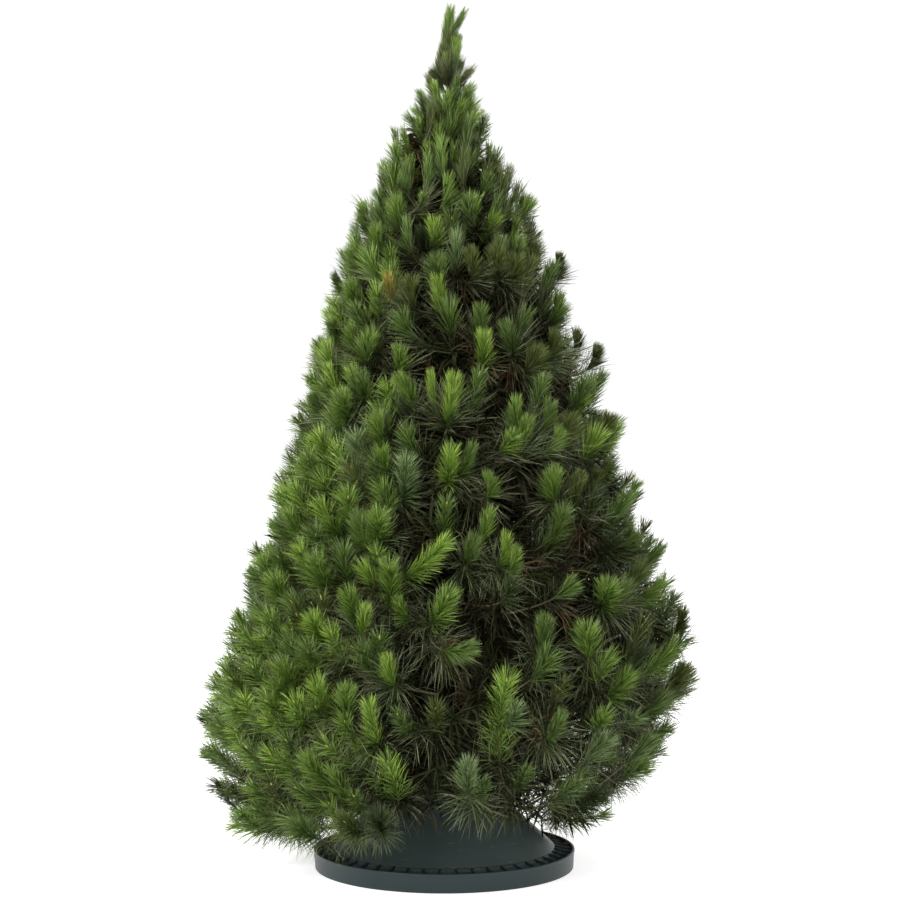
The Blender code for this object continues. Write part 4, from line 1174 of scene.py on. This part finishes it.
# Marked shoots have more of them, so that no wood shows behind their own
for kind, tier, chosen in (
    ("old_", 0, dealt == 0), ("old_", 1, dealt == 1), ("under_", 0, is_marked >= 0),
):
    label, _, *tones = OLD_TONES[tier]
    add_needles(
        kind + label, tones, OLD_GLOSS, chosen, OLD_COUNT, 0.0, (roots, bases, ends),
        (old_from, fresh_from + 0.04), (wide, 0.75 * wide), old_length, np.full(count, -0.05),
        0.50 * low_down * rise * lowest, crowd, OLD_WIDTH * width,
    )


# ---- Inner twigs
# Shaded side twigs fill the inside of the tree, out from the nearest joint: thin wood with long
# needles on it, coloured near-black as painted shade, and here and there a tuft of dead ones,
# reddish brown.

# How many are tried, how deep under the outline they end at least and how far from the trunk,
# and their greatest length; how many needles each has, how far over the skirt they keep and how
# much less of that at the front, and the wood's radius
INNER_TRIES, INNER_DEPTH, INNER_FROM_TRUNK, INNER_REACH = 4000, 0.085, 0.03, 0.22
INNER_COUNT, INNER_SKIRT, INNER_RADIUS, INNER_GLOSS = 20, (0.06, 0.09), 0.0016, 0.06
INNER_OVER = 0.01  # over the stand
INNER_TONES = (
    # name, how many of them, how wide, and colours as for the fresh greens; the shade_ tones are
    # near-black as painted shade
    ("shade_brown", 0.5, 0.006, (4, 4, 2), (16, 14, 6), (40, 36, 18), 0.6),
    ("shade_green", 0.42, 0.0042, (4, 6, 2), (16, 22, 6), (50, 58, 22), 0.6),
    ("dead_brown", 0.08, 0.002, (28, 14, 6), (110, 58, 28), (180, 115, 60), 0.6),
)

inner = []
for end, z, share in scattered(INNER_TRIES, INNER_SKIRT):
    radius = crown_radius(z)
    deep = INNER_DEPTH + share**1.3 * (radius - INNER_DEPTH - INNER_FROM_TRUNK)
    if radius < INNER_DEPTH + INNER_FROM_TRUNK + 0.01:
        continue
    end = end + deep * unit(trunk_middle(end[2]) - end)
    end[2] = max(end[2], clear_height(end) + INNER_OVER)
    start = nearest_parent(end, joints, joint_ways)
    if np.linalg.norm(end - start) < INNER_REACH and not in_open(end, ()):
        inner.append((*start, *end, deep))
inner = np.array(inner)
inner_start, inner_end, inner_deep = inner[:, :3], inner[:, 3:6], inner[:, 6]
count = len(inner)
inner_bend = 0.5 * (inner_start + inner_end) + numbers.normal(0, 0.012, (count, 3))
inner_lines = inner_start, inner_bend, inner_end
s = np.broadcast_to(np.linspace(0, 1, 3), (count, 3))
inner_wood = tubes(curve(s, *inner_lines), INNER_RADIUS * (1 - 0.6 * s), 3)
scars = np.random.default_rng(6).uniform(0.0, 0.6, len(inner_wood[0]))
add_piece("inner_twigs", inner_wood, twig_bark, mass_names, bark_growth(scars))
inner_length = np.minimum(numbers.uniform(0.075, 0.105, count), 0.02 + 0.5 * inner_deep)
wide = np.radians(numbers.uniform(45, 90, count))
wide = wide * np.interp(inner_end[:, 2], (1.2, 1.6), (1, 0.4))
dealt = dealt_tiers([np.full(count, share) for _, share, *_ in INNER_TONES])
for tier, (label, _, own_wide, *tones) in enumerate(INNER_TONES):
    curl, droop, crowd, width = (np.full(count, value) for value in (0.05, 0.35, 1.5, own_wide))
    add_needles(
        "inner_" + label, tones, INNER_GLOSS, dealt == tier, INNER_COUNT, 0.0, inner_lines,
        (np.full(count, 0.1), np.ones(count)), (wide, 0.7 * wide), inner_length, curl, droop,
        crowd, width,
    )


# ---- Floor, light and camera
# A plain pale floor and soft studio light: a large lamp high at the front left, a weaker one
# at the right, and even white all round.

FLOOR_REACH, FLOOR_TONE, FLOOR_GLOW, STUDIO_GLOW = 14.0, 0.78, 0.60, 1.17
# The camera: its sensor in millimetres, and in pixels the render's side, the focal length, and
# the row of the horizon from the top
SENSOR, RENDER_SIDE, FOCAL, HORIZON = 36.0, 900, 2460, 351

floor_mesh = bpy.data.meshes.new("floor")
corners = [(-1, -1), (1, -1), (1, 1), (-1, 1)]
floor_mesh.from_pydata(
    [(x * FLOOR_REACH, y * FLOOR_REACH, 0) for x, y in corners], [], [(0, 1, 2, 3)]
)
floor = bpy.data.objects.new("floor", floor_mesh)
bpy.context.scene.collection.objects.link(floor)
floor_paint, _, _ = new_finish(
    "floor_paint", 0.9, Base_Color=(FLOOR_TONE, FLOOR_TONE, FLOOR_TONE, 1),
    Emission_Color=(1, 1, 1, 1), Emission_Strength=FLOOR_GLOW,
)
floor_mesh.materials.append(floor_paint)

world = bpy.data.worlds.new("studio")
world.use_nodes = True
background = world.node_tree.nodes["Background"]
feed(world.node_tree, background, {"Color": (1, 1, 1, 1), "Strength": STUDIO_GLOW})
bpy.context.scene.world = world
bpy.context.scene.view_settings.view_transform = "Standard"


def lamp(name, place, aim, size, power):
    """A square soft lamp that faces a point."""
    data = bpy.data.lights.new(name, "AREA")
    data.size, data.energy = size, power
    made = bpy.data.objects.new(name, data)
    bpy.context.scene.collection.objects.link(made)
    made.location = place
    made.rotation_euler = (Vector(aim) - Vector(place)).to_track_quat("-Z", "Y").to_euler()


lamp("key", (-4.0, -3.2, 3.6), (0, 0, 0.9), 3.0, 370)
lamp("fill", (3.6, -3.2, 2.2), (0, 0, 0.9), 2.5, 20)

camera_data = bpy.data.cameras.new("camera")
camera_data.sensor_width = SENSOR
camera_data.lens = SENSOR * FOCAL / RENDER_SIDE
camera = bpy.data.objects.new("camera", camera_data)
bpy.context.scene.collection.objects.link(camera)
camera.location = FRONT_EYE
camera.rotation_euler = (
    math.radians(90) - math.atan((RENDER_SIDE / 2 - HORIZON) / FOCAL), 0, 0
)
bpy.context.scene.camera = camera
